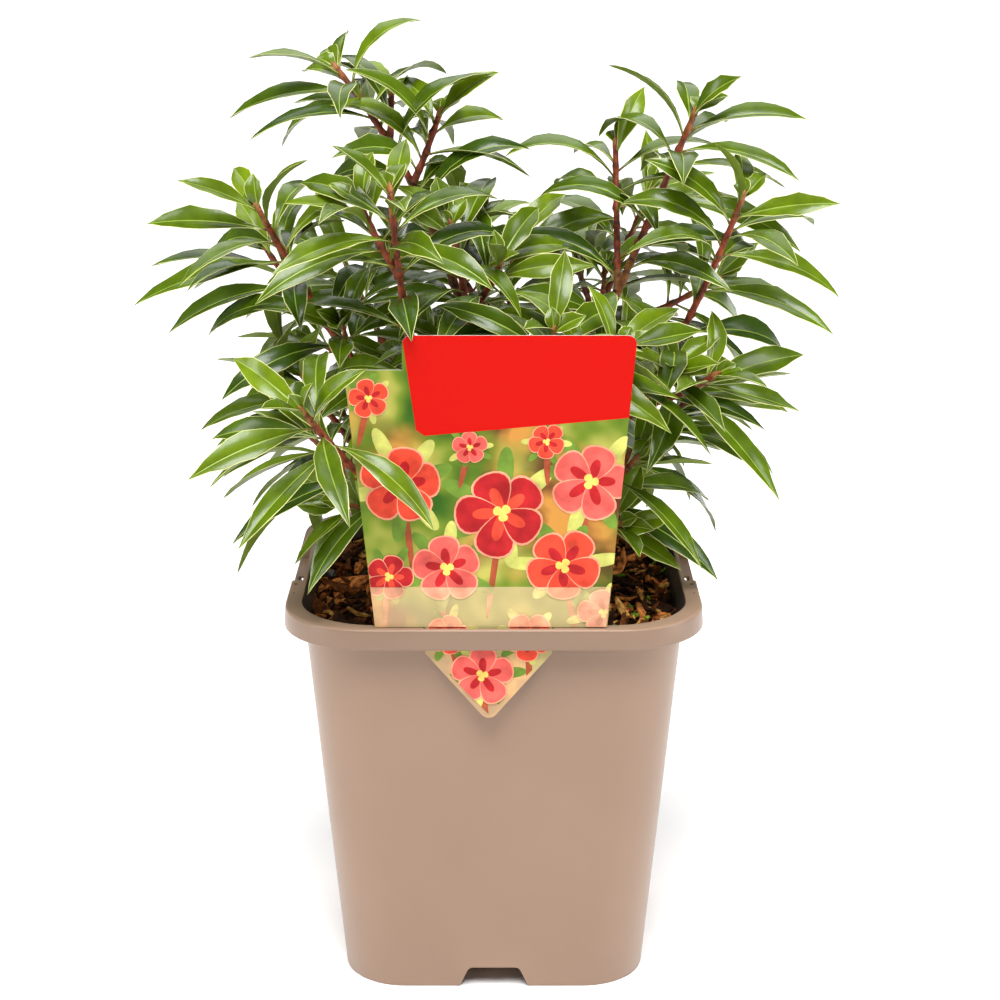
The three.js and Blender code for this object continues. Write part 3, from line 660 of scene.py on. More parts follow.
def scatter_shards(random, pot, count, lengths, *, slender, tilt, lift, kinds):
    """Shards strewn over the compost, each (vertices, faces, kinds, no sharp edges)."""
    half = COMPOST_HIGH.x
    corner = pot.corner * half / pot.neck_half
    parts = []
    for _ in range(count):
        x, y = kept_inside(random.uniform(-half, half, (1, 3)), half - 2 * MM, corner)[0, :2]
        length = lengths[0] + (lengths[1] - lengths[0]) * random.random() ** 2
        width = length * random.uniform(*slender)
        points = shard(random, length, width, random.uniform(0.1, 0.3) * width + 0.3 * MM)
        points = turned(random, points, tilt)
        points += (x, y, surface_height(x, y, half) + random.uniform(*lift))
        points = kept_inside(points, half + 0.1 * MM, corner)
        kind = int(random.choice(len(kinds), p=kinds))
        if x > 0.4 * half and random.random() < GREEN_SHARE:
            kind = GREEN_SCRAP if length > 3 * MM else PALE
        parts.append((points.tolist(), shard_faces(), [kind] * len(shard_faces()), ()))
    return parts


STONE_RADIUS = 3 * MM
STONE_PLACE = (-62 * MM, 8 * MM, COMPOST_HIGH.z + 1.6 * MM)
STONE_RING = list(zip(range(1, 6), (2, 3, 4, 5, 1)))
STONE_FACES = [(0, i, j) for i, j in STONE_RING] + [(i, i + 5, j) for i, j in STONE_RING]
STONE_FACES += [(j, i + 5, j + 5) for i, j in STONE_RING] + [(i + 5, 11, j + 5) for i, j in STONE_RING]


def stone(random, radius):
    """The corners of a rounded stone with twenty faces, from its top down."""
    points = [(0, 0, 1)]
    for height, offset in ((0.45, 0), (-0.45, math.pi / 5)):
        angles = offset + np.arange(5) * 2 * math.pi / 5
        points += [(0.89 * math.cos(angle), 0.89 * math.sin(angle), height) for angle in angles]
    points.append((0, 0, -1))
    return radius * np.array(points) * (1.1, 0.9, 0.75) * random.uniform(0.88, 1.1, (12, 1))


BED_VOXEL = 2.2 * MM
BED_LUMPS = ((9 * MM, 3.2 * MM), (3.5 * MM, 1.8 * MM))  # width and height of the lumps


class SHRUB_OT_compost(bpy.types.Operator):
    """Make the compost's lumpy body"""

    bl_idname = "shrub.compost"
    bl_label = "Compost"

    def execute(self, context):
        settings = context.scene.compost_settings
        deselect()
        source = frame["nodes"]["compost"]
        bed = source.copy()
        bed.data = source.data.copy()
        bed.parent = None
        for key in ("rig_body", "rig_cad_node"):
            del bed[key]
        bed.data.materials.clear()
        bpy.context.scene.collection.objects.link(bed)
        edit(bed)
        bpy.ops.mesh.select_all(action="SELECT")
        bpy.ops.mesh.remove_doubles(threshold=1e-5)
        bpy.ops.object.mode_set(mode="OBJECT")
        apply_modifier(bed, "REMESH", mode="VOXEL", voxel_size=BED_VOXEL)
        top = bed.vertex_groups.new(name="top")
        low = COMPOST_HIGH.z - 4 * MM
        top.add([v.index for v in bed.data.vertices if v.co.z > low], 1.0, "REPLACE")
        for scale, strength in BED_LUMPS:
            lumps = bpy.data.textures.new("Lumps", "CLOUDS")
            lumps.noise_scale = scale
            apply_modifier(
                bed, "DISPLACE", texture=lumps, strength=strength, mid_level=0.55, direction="Z",
                vertex_group="top", texture_coords="LOCAL",
            )
        finish = {"spread": 0.6, "scale": 260, "grain": 1400, "bump": 0.8, "depth": MM}
        soil = mottled("Wet compost", tuple(settings.dark), 0.9, Specular_IOR_Level=0.1, **finish)
        settle(bed, "compost_bed", [soil])
        bpy.ops.object.shade_smooth()
        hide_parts("compost")
        return {"FINISHED"}


class SHRUB_OT_chips(bpy.types.Operator):
    """Strew bark chips and crumbs over the compost"""

    bl_idname = "shrub.chips"
    bl_label = "Bark chips"

    def execute(self, context):
        settings = context.scene.compost_settings
        random = np.random.default_rng(41)
        pot = context.scene.pot_settings
        chips = scatter_shards(random, pot, settings.chips, (CHIP_SHORTEST, settings.chip_length), **CHIPS)
        crumbs = scatter_shards(random, pot, settings.crumbs, CRUMB_LENGTHS, **CRUMBS)
        dark, brown, fresh = (tuple(getattr(settings, key)) for key in ("dark", "brown", "orange"))
        finish = {"spread": 0.75, "scale": 420, "grain": 1100, "bump": 1.0, "depth": 1.1 * MM}
        finish["Specular_IOR_Level"] = 0.08
        pebble = turned(random, stone(random, STONE_RADIUS), 1) + STONE_PLACE
        chips.append((pebble.tolist(), STONE_FACES, [STONE] * len(STONE_FACES), ()))
        materials = [
            mottled("Dark bark", shade(dark, 1.4), 0.75, **finish),
            mottled("Brown bark", brown, 0.75, **finish),
            mottled("Fresh bark", fresh, 0.7, **finish),
            mottled("Pale bark", shade(fresh, 1.7), 0.75, **finish),
            mottled("Green scrap", (0.16, 0.25, 0.02), 0.6, **finish),
            mottled("Stone", (0.06, 0.055, 0.05), 0.5, spread=0.3),
        ]
        for name, parts in (("bark_chips", chips), ("bark_crumbs", crumbs)):
            piece = joined_mesh(name, parts, smooth=False)
            settle(piece, name, materials)
        return {"FINISHED"}


# ---- growth rule ---------------------------------------------------------------------------
# The same rule and the same named sizes as the solids', in millimetres, and then finer growth.

GAP = 0.3
COMPOST_TOP = 138
LABEL_Y = -71.8
LABEL_FOOT = 146.6
LABEL_FOOT_LEFT, LABEL_FOOT_RIGHT = -41, 39.3
LABEL_CARD_TOP, LABEL_CARD_LEFT = 237.7, -50.2
LABEL_HEADER_TOP, LABEL_HEADER_LEFT, LABEL_HEADER_RIGHT = 249.5, -30.6, 48.2
RIM_HALF, MOUTH_HALF, POT_HEIGHT = 74.6, 68.8, 146.3

TRUNK_FOOT = COMPOST_TOP + GAP
TRUNK_TOP = 166
TRUNK_LEAN = (1.2, 1.5)
TRUNK_RADIUS, TRUNK_TOP_RADIUS = 5.4, 4.3
TRUNK_FLARE, TRUNK_FLARE_REACH = 4.2, 0.16
BOUGH_RADIUS, BOUGH_END_RADIUS, STEM_TIP_RADIUS = 2.5, 1.8, 1.25
SHOOT_RADIUS, SHOOT_SAG = 1.5, 0.1

LEAF_YOUNG, LEAF_GROWN, LEAF_SPREAD = 27, 49, 5
LEAF_WIDTH = (6, 0.1)
LEAF_WIDEST, STALK_HALF = 0.52, 0.5
ROSETTE_LEAVES, ROSETTE_STEP, LEAF_STEP = 9, 2.5, 8.5
GOLDEN_TURN = 137.508
OPEN_YOUNG, OPEN_GROWN, OPEN_BY, GROWN_BY, OPEN_SPREAD = 29, 72, 5, 4, 7
DROOP_YOUNG, DROOP_GROWN, DROOP_SPREAD, ROLL_SPREAD = 20, 66, 10, 14
RISE_PULL = 0.3  # how far a leaf turns upwards
OUTWARD_PULL = 0.4  # and out of the crown
OUTWARD_FULL = 70  # the distance from the middle at which it turns out in full
FACE_PULL = 1.4  # how far its face turns to the light

SAMPLE_STEP, SAMPLE_FROM, CROWD_FROM = 2.6, 0.2, 0.45
LABEL_ROOM, RIM_ROOM = 1.9, 2.5
ROOM = {"leaf": 3, "crowd": 1.7, "limb": 1.8}
CLOSE_ROOM = {"leaf": 0.9, "crowd": 0.45, "limb": 0.3}  # for the finer growth
TRIES = [
    (0, 0), (14, 0), (-14, 0), (27, -8), (-27, -8), (0, -18), (44, -14), (-44, -14), (62, 0), (-62, 0),
]

# name: (height on the trunk, tip, swing, where its leaves start, turn of its leaves, side shoots)
LIMBS = {
    "left_upper": (0.76, (-84, -8, 282), (0.6, 0.46), 0.5, 210, [(0.7, (-84, 20, 262))]),
    "left_low": (0.3, (-63, -80, 225), (0.6, 0.42), 0.42, 60, [(0.6, (-66, -30, 205))]),
    "front_left": (0.52, (-35.5, -36, 292), (0.8, 0.3), 0.52, 0, [(0.84, (-46, -28, 286))]),
    "crown_left": (1, (-57, 24, 328), (0.1, 0.62), 0.52, 210,
                   [(0.8, (-38, 34, 317)), (0.7, (-20, 18, 312))]),
    "right_main": (0.8, (72, 6, 314), (0.52, 0.46), 0.5, 30, [(0.6, (45, 28, 300))]),
    "right_outer": (0.52, (87, -20, 287), (0.66, 0.36), 0.4, 330, [(0.5, (78, -30, 226))]),
    "front_centre": (0.72, (20.5, -52, 246), (0.45, 0.4), 0.45, 0, [(0.66, (44, -44, 240))]),
    "middle_left": (0.93, (-15, -14, 276), (0.3, 0.5), 0.5, 0, [(0.7, (2, -20, 264))]),
    "back_centre": (0.92, (8, 46, 262), (0.4, 0.5), 0.5, 0, [(0.66, (-20, 54, 258))]),
    "right_low": (0.22, (50, -34, 196), (0.6, 0.45), 0.5, 330, []),
    "back_left": (0.62, (-59, 62, 252), (0.5, 0.42), 0.45, 0,
                  [(0.62, (-70, 50, 222)), (0.66, (-34, 80, 238))]),
    "back_right": (0.66, (60, 60, 278), (0.45, 0.44), 0.45, 0,
                   [(0.62, (86, 50, 246)), (0.66, (32, 78, 250))]),
    "back_low": (0.3, (2, 86, 214), (0.55, 0.42), 0.45, 0,
                 [(0.6, (-30, 78, 198)), (0.6, (32, 80, 202))]),
    "left_back": (0.2, (-72, 26, 212), (0.6, 0.4), 0.45, 0, [(0.6, (-60, 52, 194))]),
    "right_back": (0.34, (78, 36, 206), (0.6, 0.4), 0.45, 210, [(0.6, (60, 60, 196))]),
}

UP = np.array([0.0, 0.0, 1.0])
FRAME_AXIS = np.array([0.0, 1.0, 0.0])


def lerp(start, end, share):
    """A value part of the way from one to another."""
    return start * (1 - share) + end * share


def unit(vector):
    """The same direction with a length of one."""
    return vector / np.linalg.norm(vector)


LIGHT = unit(np.array([0, -0.8, 0.7]))


class Path:
    """A quadratic curve, with its direction and two directions across it."""

    def __init__(self, start, control, end):
        self.points = [np.array(point, float) for point in (start, control, end)]
        start, control, end = self.points
        legs = [start - control, control - end, start - end]
        self.length = sum(np.linalg.norm(leg) for leg in legs) / 2

    def at(self, t):
        """The point at a place from 0 to 1, the direction there and two directions across it."""
        start, control, end = self.points
        first = lerp(start, control, t)
        second = lerp(control, end, t)
        axis = unit(second - first)
        across = unit(np.cross(FRAME_AXIS, axis))
        return lerp(first, second, t), axis, across, np.cross(across, axis)


def seeded_random(seed):
    """A small seeded generator of numbers from 0 to 1."""
    mask = 0xFFFFFFFF
    state = seed

    def draw():
        nonlocal state
        state = (state + 0x6D2B79F5) & mask
        mixed = (state ^ (state >> 15)) * (state | 1) & mask
        mixed = (mixed + ((mixed ^ (mixed >> 7)) * (mixed | 61) & mask) & mask) ^ mixed
        return ((mixed ^ (mixed >> 14)) & mask) / 4294967296

    return draw


def trunk_path():
    """The trunk's leaning axis."""
    foot = np.array([0.0, 0.0, TRUNK_FOOT])
    top = np.array([*TRUNK_LEAN, TRUNK_TOP], float)
    return Path(foot, (0, 0, (foot[2] + top[2]) / 2), top)


def trunk_radius(t):
    """Tapering, with a flare at the foot."""
    return lerp(TRUNK_RADIUS, TRUNK_TOP_RADIUS, t) + TRUNK_FLARE * math.exp(-t / TRUNK_FLARE_REACH)


def limb_path(height, tip, swing):
    """A limb starts just clear of the trunk, or just above its top."""
    root, trunk_axis, _, _ = trunk_path().at(height)
    tip = np.array(tip, float)
    span = tip - root
    control = root + span * (swing[0], swing[0], swing[1])
    heading = unit(control - root)
    along = heading @ trunk_axis
    if height == 1:
        root = root + trunk_axis * (GAP + BOUGH_RADIUS * math.sqrt(1 - along * along))
    else:
        away = unit(heading - trunk_axis * along)
        root = root + away * (trunk_radius(height) + GAP + BOUGH_RADIUS * along)
    return Path(root, control, tip)


def limb_radius(leafy, t):
    """Tapering, and faster where the leaves are."""
    if t < leafy:
        return lerp(BOUGH_RADIUS, BOUGH_END_RADIUS, max(0, t) / leafy)
    return lerp(BOUGH_END_RADIUS, STEM_TIP_RADIUS, (t - leafy) / (1 - leafy))


def shoot_path(parent, place, tip):
    """A side shoot that sags a little."""
    start = parent.at(place)[0]
    tip = np.array(tip, float)
    sag = SHOOT_SAG * np.linalg.norm(tip - start)
    return Path(start, lerp(start, tip, 0.5) - sag * UP, tip)


def shoot_radius(t):
    """Tapering to the tip."""
    return lerp(SHOOT_RADIUS, STEM_TIP_RADIUS, t)


def leaf_traits(number, random):
    """Older leaves, further from the tip, are longer, open wider and droop."""
    age = min(1, number / OPEN_BY)
    grown = min(1, number / GROWN_BY)
    spreads = [2 * random() - 1 for _ in range(4)]
    return {
        "number": number,
        "age": age,
        "length": lerp(LEAF_YOUNG, LEAF_GROWN, grown) + LEAF_SPREAD * spreads[0],
        "open": lerp(OPEN_YOUNG, OPEN_GROWN, age) + OPEN_SPREAD * spreads[1],
        "droop": lerp(DROOP_YOUNG, DROOP_GROWN, age) + DROOP_SPREAD * spreads[2],
        "roll": ROLL_SPREAD * spreads[3],
    }


def leaf_frame(stem, traits, turn, opening):
    """The leaf's own directions: along it, across it and up from its face."""
    point, axis, across, other = stem
    turn, opening, roll = (math.radians(value) for value in (turn, opening, traits["roll"]))
    radial = across * math.cos(turn) + other * math.sin(turn)
    along = axis * math.cos(opening) + radial * math.sin(opening)
    outward = point * (1, 1, 0) / OUTWARD_FULL
    outward /= max(1, np.linalg.norm(outward))
    along = unit(along + (outward * OUTWARD_PULL + UP * RISE_PULL) * traits["age"])
    level = unit(np.cross(axis + LIGHT * FACE_PULL, along))
    face = np.cross(along, level)
    side = level * math.cos(roll) + face * math.sin(roll)
    return {"along": along, "across": side, "face": np.cross(along, side)}


def leaf_points(leaf, s, side, lift):
    """Points of the leaf: s runs from root to tip, side and lift are in millimetres from the midrib."""
    s, side, lift = np.broadcast_arrays(np.asarray(s, float), side, lift)
    bend = math.radians(leaf["droop"])
    turned_by = bend * s
    forward = leaf["length"] * np.sin(turned_by) / bend + lift * np.sin(turned_by)
    upward = lift * np.cos(turned_by) - leaf["length"] * (1 - np.cos(turned_by)) / bend
    return (
        leaf["root"]
        + forward[..., None] * leaf["along"]
        + upward[..., None] * leaf["face"]
        + side[..., None] * leaf["across"]
    )


def plain_half(leaf, s):
    """Half the width of the plain leaf that the spacing is tested with."""
    greatest = (LEAF_WIDTH[0] + LEAF_WIDTH[1] * leaf["length"]) / 2
    rising = STALK_HALF + (greatest - STALK_HALF) * s / LEAF_WIDEST
    falling = greatest * (1 - s) / (1 - LEAF_WIDEST)
    return np.where(s < LEAF_WIDEST, rising, falling)


def add_samples(leaf):
    """Adds the points that the spacing is tested with."""
    steps = math.ceil(leaf["length"] / SAMPLE_STEP)
    s = np.arange(steps + 1) / steps
    s = s[s >= SAMPLE_FROM]
    side = plain_half(leaf, s)[:, None] * np.arange(-2, 3) / 2
    leaf["samples"] = leaf_points(leaf, s[:, None], side, 0.0).reshape(-1, 3)
    leaf["sample_s"] = np.repeat(s, 5)
    leaf["middle"] = leaf_points(leaf, 0.5, 0.0, 0.0)


def near_pot(points):
    """True where a point is too near the label, the rim, the wall or the compost."""
    x, y, z = points.T
    out = np.maximum(abs(x), abs(y))
    floor = np.where(out < MOUTH_HALF - 2 * RIM_ROOM, COMPOST_TOP + RIM_ROOM, POT_HEIGHT + RIM_ROOM)
    near_label = (abs(y - LABEL_Y) < LABEL_ROOM) & (z < LABEL_HEADER_TOP + LABEL_ROOM)
    near_label &= (x > LABEL_CARD_LEFT - LABEL_ROOM) & (x < LABEL_HEADER_RIGHT + LABEL_ROOM)
    return (near_label | ((out < RIM_HALF + RIM_ROOM) & (z < floor))).any()


def near_limb(leaf, wood, room):
    """True where the leaf is too near any wood."""
    points, radii = wood
    reach = np.linalg.norm(leaf["samples"] - leaf["middle"], axis=1).max()
    close = np.linalg.norm(points - leaf["middle"], axis=1) < reach + radii + room
    if not close.any():
        return False
    apart = np.linalg.norm(leaf["samples"][:, None] - points[close][None], axis=2)
    return bool((apart < radii[close] + room).any())


def near_leaf(leaf, grown, room):
    """True where the leaf is too near another one."""
    for other in grown:
        apart = np.linalg.norm(leaf["middle"] - other["middle"])
        if apart > (leaf["length"] + other["length"]) / 2 + ROOM["leaf"]:
            continue
        same = leaf["mass"] == other["mass"]
        least = CROWD_FROM if same else 0
        own = leaf["samples"][leaf["sample_s"] >= least]
        theirs = other["samples"][other["sample_s"] >= least]
        if np.linalg.norm(own[:, None] - theirs[None], axis=2).min() < room["crowd" if same else "leaf"]:
            return True
    return False


def grow_leaf(mass, stem, traits, turn, wood, grown, room):
    """One leaf where it has room, turned a little at each try, or None."""
    for aside, closer in TRIES:
        leaf = {"mass": mass, "root": stem[0], **traits}
        leaf |= leaf_frame(stem, traits, turn + aside, traits["open"] + closer)
        add_samples(leaf)
        if near_pot(leaf["samples"]) or near_limb(leaf, wood, room["limb"]):
            continue
        if not near_leaf(leaf, grown, room):
            return leaf
    return None


def grow_leaves(mass, path, bare_length, turned, random, wood, grown, missed):
    """Leaves up a stem by the golden turn: a rosette at its tip, then wider apart."""
    start = turned + 360 * random()
    number = 0
    while True:
        in_rosette = min(number, ROSETTE_LEAVES)
        from_tip = ROSETTE_STEP * (in_rosette + 0.6) + LEAF_STEP * (number - in_rosette)
        if from_tip > path.length - bare_length:
            return
        stem = path.at(1 - from_tip / path.length)
        traits = leaf_traits(number, random)
        turn = start + GOLDEN_TURN * number
        leaf = grow_leaf(mass, stem, traits, turn, wood, grown, ROOM)
        if leaf:
            grown.append(leaf)
        else:
            missed.append((mass, stem, traits, turn))
        number += 1


def wood_samples(path, radius_at):
    """Points along a stem, and its radius at each."""
    steps = math.ceil(path.length / SAMPLE_STEP)
    places = [step / steps for step in range(steps + 1)]
    return [path.at(t)[0] for t in places], [radius_at(t) for t in places]


FINE_PLACES = (0.5,)  # where finer twigs leave a limb
FINE_LENGTH = 22
FINE_LEAVES = 6
FINE_SCALE = 0.75
FINE_RADIUS = 0.95


def grow_fine_twigs(mass, path, random, wood, grown):
    """Short twigs with a few smaller leaves, kept where at least half of those find room."""
    twigs = []
    for place in FINE_PLACES:
        point, axis, across, other = path.at(place + 0.08 * (random() - 0.5))
        turn = 2 * math.pi * random()
        outward = across * math.cos(turn) + other * math.sin(turn)
        tip = point + (axis * 0.55 + outward * 0.75 + UP * 0.35) * FINE_LENGTH * (0.8 + 0.4 * random())
        twig = Path(point, lerp(point, tip, 0.5) - UP * 1.5, tip)
        start = 360 * random()
        own = []
        for number in range(FINE_LEAVES):
            traits = leaf_traits(number, random)
            traits["length"] *= FINE_SCALE
            stem = twig.at(1 - 1.6 * (number + 0.6) / twig.length)
            leaf = grow_leaf(mass, stem, traits, start + GOLDEN_TURN * number, wood, grown + own, CLOSE_ROOM)
            if leaf:
                own.append(leaf)
        if len(own) >= FINE_LEAVES / 2:
            grown.extend(own)
            twigs.append(twig)
    return twigs


HEART_LEAVES = 2
HEART_LENGTH = (8, 13)


def heart_leaves(mass, path, random):
    """The small upright leaves round a bud."""
    leaves = []
    start = 360 * random()
    for number in range(HEART_LEAVES):
        traits = leaf_traits(0, random)
        traits["length"] = lerp(*HEART_LENGTH, number) + 2 * random()
        traits["open"] = 12 + 9 * number
        traits["number"] = number - HEART_LEAVES
        stem = path.at(1 - 0.3 * (number + 1) / path.length)
        leaf = {"mass": mass, "root": stem[0], **traits}
        leaf |= leaf_frame(stem, traits, start + GOLDEN_TURN * number, traits["open"])
        leaves.append(leaf)
    return leaves


@functools.cache
def grow_plant():
    """All limbs, twigs and leaves, in millimetres."""
    limbs = []
    trunk_points, trunk_radii = wood_samples(trunk_path(), trunk_radius)
    points, radii = list(trunk_points), list(trunk_radii)
    for name, (height, tip, swing, leafy, turn, shoots) in LIMBS.items():
        path = limb_path(height, tip, swing)
        sides = [shoot_path(path, *shoot) for shoot in shoots]
        limbs.append({"name": name, "leafy": leafy, "turn": turn, "path": path, "sides": sides, "twigs": []})
        stems = [(path, functools.partial(limb_radius, leafy))] + [(side, shoot_radius) for side in sides]
        for stem, radius_at in stems:
            stem_points, stem_radii = wood_samples(stem, radius_at)
            points.extend(stem_points)
            radii.extend(stem_radii)
    wood = np.array(points), np.array(radii)
    leaves, missed = [], []
    for index, limb in enumerate(limbs):
        random = seeded_random(1000 + index)
        bare = limb["leafy"] * limb["path"].length + LEAF_STEP
        grow_leaves(limb["name"], limb["path"], bare, limb["turn"], random, wood, leaves, missed)
        for side in limb["sides"]:
            grow_leaves(limb["name"], side, LEAF_STEP / 2, 0, random, wood, leaves, missed)
    for mass, stem, traits, turn in missed:
        leaf = grow_leaf(mass, stem, traits, turn, wood, leaves, CLOSE_ROOM)
        if leaf:
            leaves.append(leaf)
    for index, limb in enumerate(limbs):
        random = seeded_random(2000 + index)
        limb["twigs"] = grow_fine_twigs(limb["name"], limb["path"], random, wood, leaves)
    hearts = []
    for index, limb in enumerate(limbs):
        random = seeded_random(3000 + index)
        for stem in [limb["path"], *limb["sides"], *limb["twigs"]]:
            hearts.extend(heart_leaves(limb["name"], stem, random))
    return limbs, leaves + hearts


# ---- wood ----------------------------------------------------------------------------------

OLD, GROWN, RED, GREEN_TIP = range(4)
BARK_AGES = ((7, GREEN_TIP), (52, RED), (125, GROWN))  # each kind of bark, up to this far from the tip
SHOOT_AGE = 6  # a side shoot's bark is as old as if its tip were this much further on
RING_STEP = 1.1
# How many ridges go round a stem, how high they are against its radius, and how they wind along it.
RIDGES = ((3, 0.035, 0.11), (5, 0.02, -0.23), (0, 0.015, 1.7))
SCAR_STEP = 7.0
SCAR_LENGTH, SCAR_WIDTH = 1.0, 0.75  # in millimetres along the stem and in radians round it
SCAR_MARK = (0.6, 0.9)  # the dark part of a scar, likewise
NODE_RISE, NODE_LENGTH = 0.35, 1.4  # the swelling all round at a scar
SWELL_REACH = 3.2
ROOT_DEPTH = 1.5  # how far a bough's root reaches into the trunk past its radius
OVERLAP = 0.4
SLENDER = 0.82  # how thick limbs are against their solids


def bark_tube(path, t0, t1, radius_at, seed, kind_at, *, sides=12, swell=0.0, level_foot=False):
    """A closed tube along a path, with ridges, leaf scars and a swollen root."""
    relief = bpy.context.scene.wood_settings.relief / MM
    slender = 1 if level_foot else SLENDER
    random = np.random.default_rng(seed)
    rings = max(4, int(path.length * (t1 - t0) / RING_STEP))
    angles = np.arange(sides) * 2 * math.pi / sides
    phases = random.uniform(0, 2 * math.pi, 4)
    vertices, kinds, scars = [], [], []
    for ring in range(rings + 1):
        t = lerp(t0, t1, ring / rings)
        point, _, across, other = path.at(t)
        if level_foot:
            across, other = np.array([1.0, 0, 0]), np.array([0, 1.0, 0])
        distance = t * path.length
        radius = slender * radius_at(t) + swell * math.exp(-max(0, distance) / SWELL_REACH)
        ridges = sum(
            height * np.sin(count * angles + phase + distance * winding)
            for (count, height, winding), phase in zip(RIDGES, phases)
        )
        scar = round(distance / SCAR_STEP)
        from_scar = distance - scar * SCAR_STEP
        turn = scar * math.radians(GOLDEN_TURN) + phases[3]
        beside = (angles - turn + math.pi) % (2 * math.pi) - math.pi
        bump = math.exp(-((from_scar / SCAR_LENGTH) ** 2)) * np.exp(-((beside / SCAR_WIDTH) ** 2))
        node = NODE_RISE * math.exp(-((from_scar / NODE_LENGTH) ** 2))
        lengths = radius * (1 + ridges) + relief * (bump + node)
        outward = np.cos(angles)[:, None] * across + np.sin(angles)[:, None] * other
        vertices.append(point + lengths[:, None] * outward)
        kinds.append(kind_at(t))
        scars.append((abs(from_scar) < SCAR_MARK[0]) & (abs(beside) < SCAR_MARK[1]))
    points = np.concatenate([*vertices, [path.at(t0)[0]], [path.at(t1)[0]]]) * MM
    face_kinds = [OLD if marked else kind for kind, marks in zip(kinds[:-1], scars) for marked in marks]
    face_kinds += [kinds[0]] * sides + [kinds[-1]] * sides
    faces = tube_faces(rings + 1, sides)
    if not level_foot:  # a path's own directions go round it the other way
        faces = [face[::-1] for face in faces]
    return points.tolist(), faces, face_kinds, ()


def bark_materials(context):
    """Four barks, from the oldest to the shoots' tips."""
    settings = context.scene.wood_settings
    finish = {"spread": 0.75, "scale": 380, "grain": 1500, "bump": 0.7, "depth": 0.4 * MM}
    finish["Specular_IOR_Level"] = 0.3
    old, grown, young = (tuple(getattr(settings, key)) for key in ("old", "grown", "young"))
    return [
        mottled("Old bark", old, 0.75, **finish),
        mottled("Grown bark", grown, 0.62, **finish),
        mottled("Young bark", young, 0.5, **finish),
        mottled("Shoot tip", (0.2, 0.06, 0.014), 0.5, **finish),
    ]


def age_of_wood(length, offset=0.0):
    """The kind of bark at a place, by how far it is from the tip."""

    def kind(t):
        from_tip = (1 - t) * length + offset
        return next((bark for reach, bark in BARK_AGES if from_tip < reach), OLD)

    return kind


class SHRUB_OT_wood(bpy.types.Operator):
    """Make the trunk and the boughs with the relief of their bark"""

    bl_idname = "shrub.wood"
    bl_label = "Trunk and boughs"

    def execute(self, context):
        limbs, _ = grow_plant()
        materials = bark_materials(context)
        trunk = bark_tube(trunk_path(), 0, 1, trunk_radius, 7, lambda t: OLD, sides=28, level_foot=True)
        piece = joined_mesh("trunk_bark", [trunk])
        settle(piece, "trunk_bark", materials)
        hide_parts("trunk")
        parts = []
        for index, limb in enumerate(limbs):
            path, leafy = limb["path"], limb["leafy"]
            root, end = -(BOUGH_RADIUS + ROOT_DEPTH) / path.length, leafy + OVERLAP / path.length
            parts.append(bark_tube(
                path, root, end, functools.partial(limb_radius, leafy), 100 + index, age_of_wood(path.length),
                swell=0.9,
            ))
        piece = joined_mesh("bough_bark", parts)
        settle(piece, "bough_bark", materials)
        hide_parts(*(f"bough_{name}" for name in LIMB_NAMES))
        return {"FINISHED"}


class SHRUB_OT_twigs(bpy.types.Operator):
    """Make the leafy ends of the boughs, their side shoots and finer twigs"""

    bl_idname = "shrub.twigs"
    bl_label = "Twigs"

    def execute(self, context):
        limbs, _ = grow_plant()
        parts = []
        for index, limb in enumerate(limbs):
            path, leafy = limb["path"], limb["leafy"]
            parts.append(bark_tube(
                path, leafy, 1, functools.partial(limb_radius, leafy), 100 + index, age_of_wood(path.length)
            ))
            for number, side in enumerate(limb["sides"]):
                parts.append(bark_tube(
                    side, 0, 1, shoot_radius, 300 + 10 * index + number, age_of_wood(side.length, SHOOT_AGE),
                    swell=0.5,
                ))
            for number, twig in enumerate(limb["twigs"]):
                parts.append(bark_tube(
                    twig, 0, 1, lambda t: FINE_RADIUS, 500 + 10 * index + number,
                    age_of_wood(twig.length), sides=8, swell=0.4,
                ))
        piece = joined_mesh("twigs", parts)
        settle(piece, "twigs", bark_materials(context))
        return {"FINISHED"}


# ---- leaves --------------------------------------------------------------------------------

# Places of the rows from root to tip, and the half width at each against the greatest.
ROWS = np.array([0.0, 0.08, 0.17, 0.28, 0.4, 0.52, 0.63, 0.74, 0.84, 0.93])
WIDTHS = np.array([0.08, 0.08, 0.22, 0.52, 0.83, 1.0, 0.97, 0.79, 0.5, 0.21])
BLADE_ROW = 3  # the first row past the stalk and its wedge
COLUMNS = 8  # points in a row: six on the face from edge to edge, and two below
RIB_HALF = 0.3
STALK_SIDE = 0.42
EDGE_THICKNESS, RIB_THICKNESS = 0.16, 0.46
TOOTH = 0.17  # how far the teeth vary the width
UPRIGHT_DROOP = 35  # degrees that an upright leaf bends over more
OUTWARD_STRETCH, OUTWARD_GROWTH = 0.32, 0.12  # how much flatter and longer an outward leaf is
HEADER_TURN = math.radians(68)  # how far down a leaf in front of the header turns
HEADER_LEVELS = (218, 244.5)  # between these heights a tip is in front of the header
BLADE, MARGIN, RIB, UNDER, STALK = range(5)
RING = (  # the strips between the columns, once round a row
    (0, 1, MARGIN), (1, 2, BLADE), (2, 3, RIB), (3, 4, BLADE), (4, 5, MARGIN), (5, 7, UNDER), (7, 6, RIB),
    (6, 0, UNDER),
)


def blade_half(leaf, random):
    """Half the leaf's width at each row: a stalk, a wedge, a slender blade with small uneven teeth."""
    greatest = (LEAF_WIDTH[0] + LEAF_WIDTH[1] * leaf["length"]) / 2 * random.uniform(0.84, 1.04)
    teeth = 1 + TOOTH * random.uniform(-1, 0.6, len(ROWS)) * (ROWS > 0.45)
    return np.maximum(STALK_SIDE, greatest * WIDTHS * teeth)


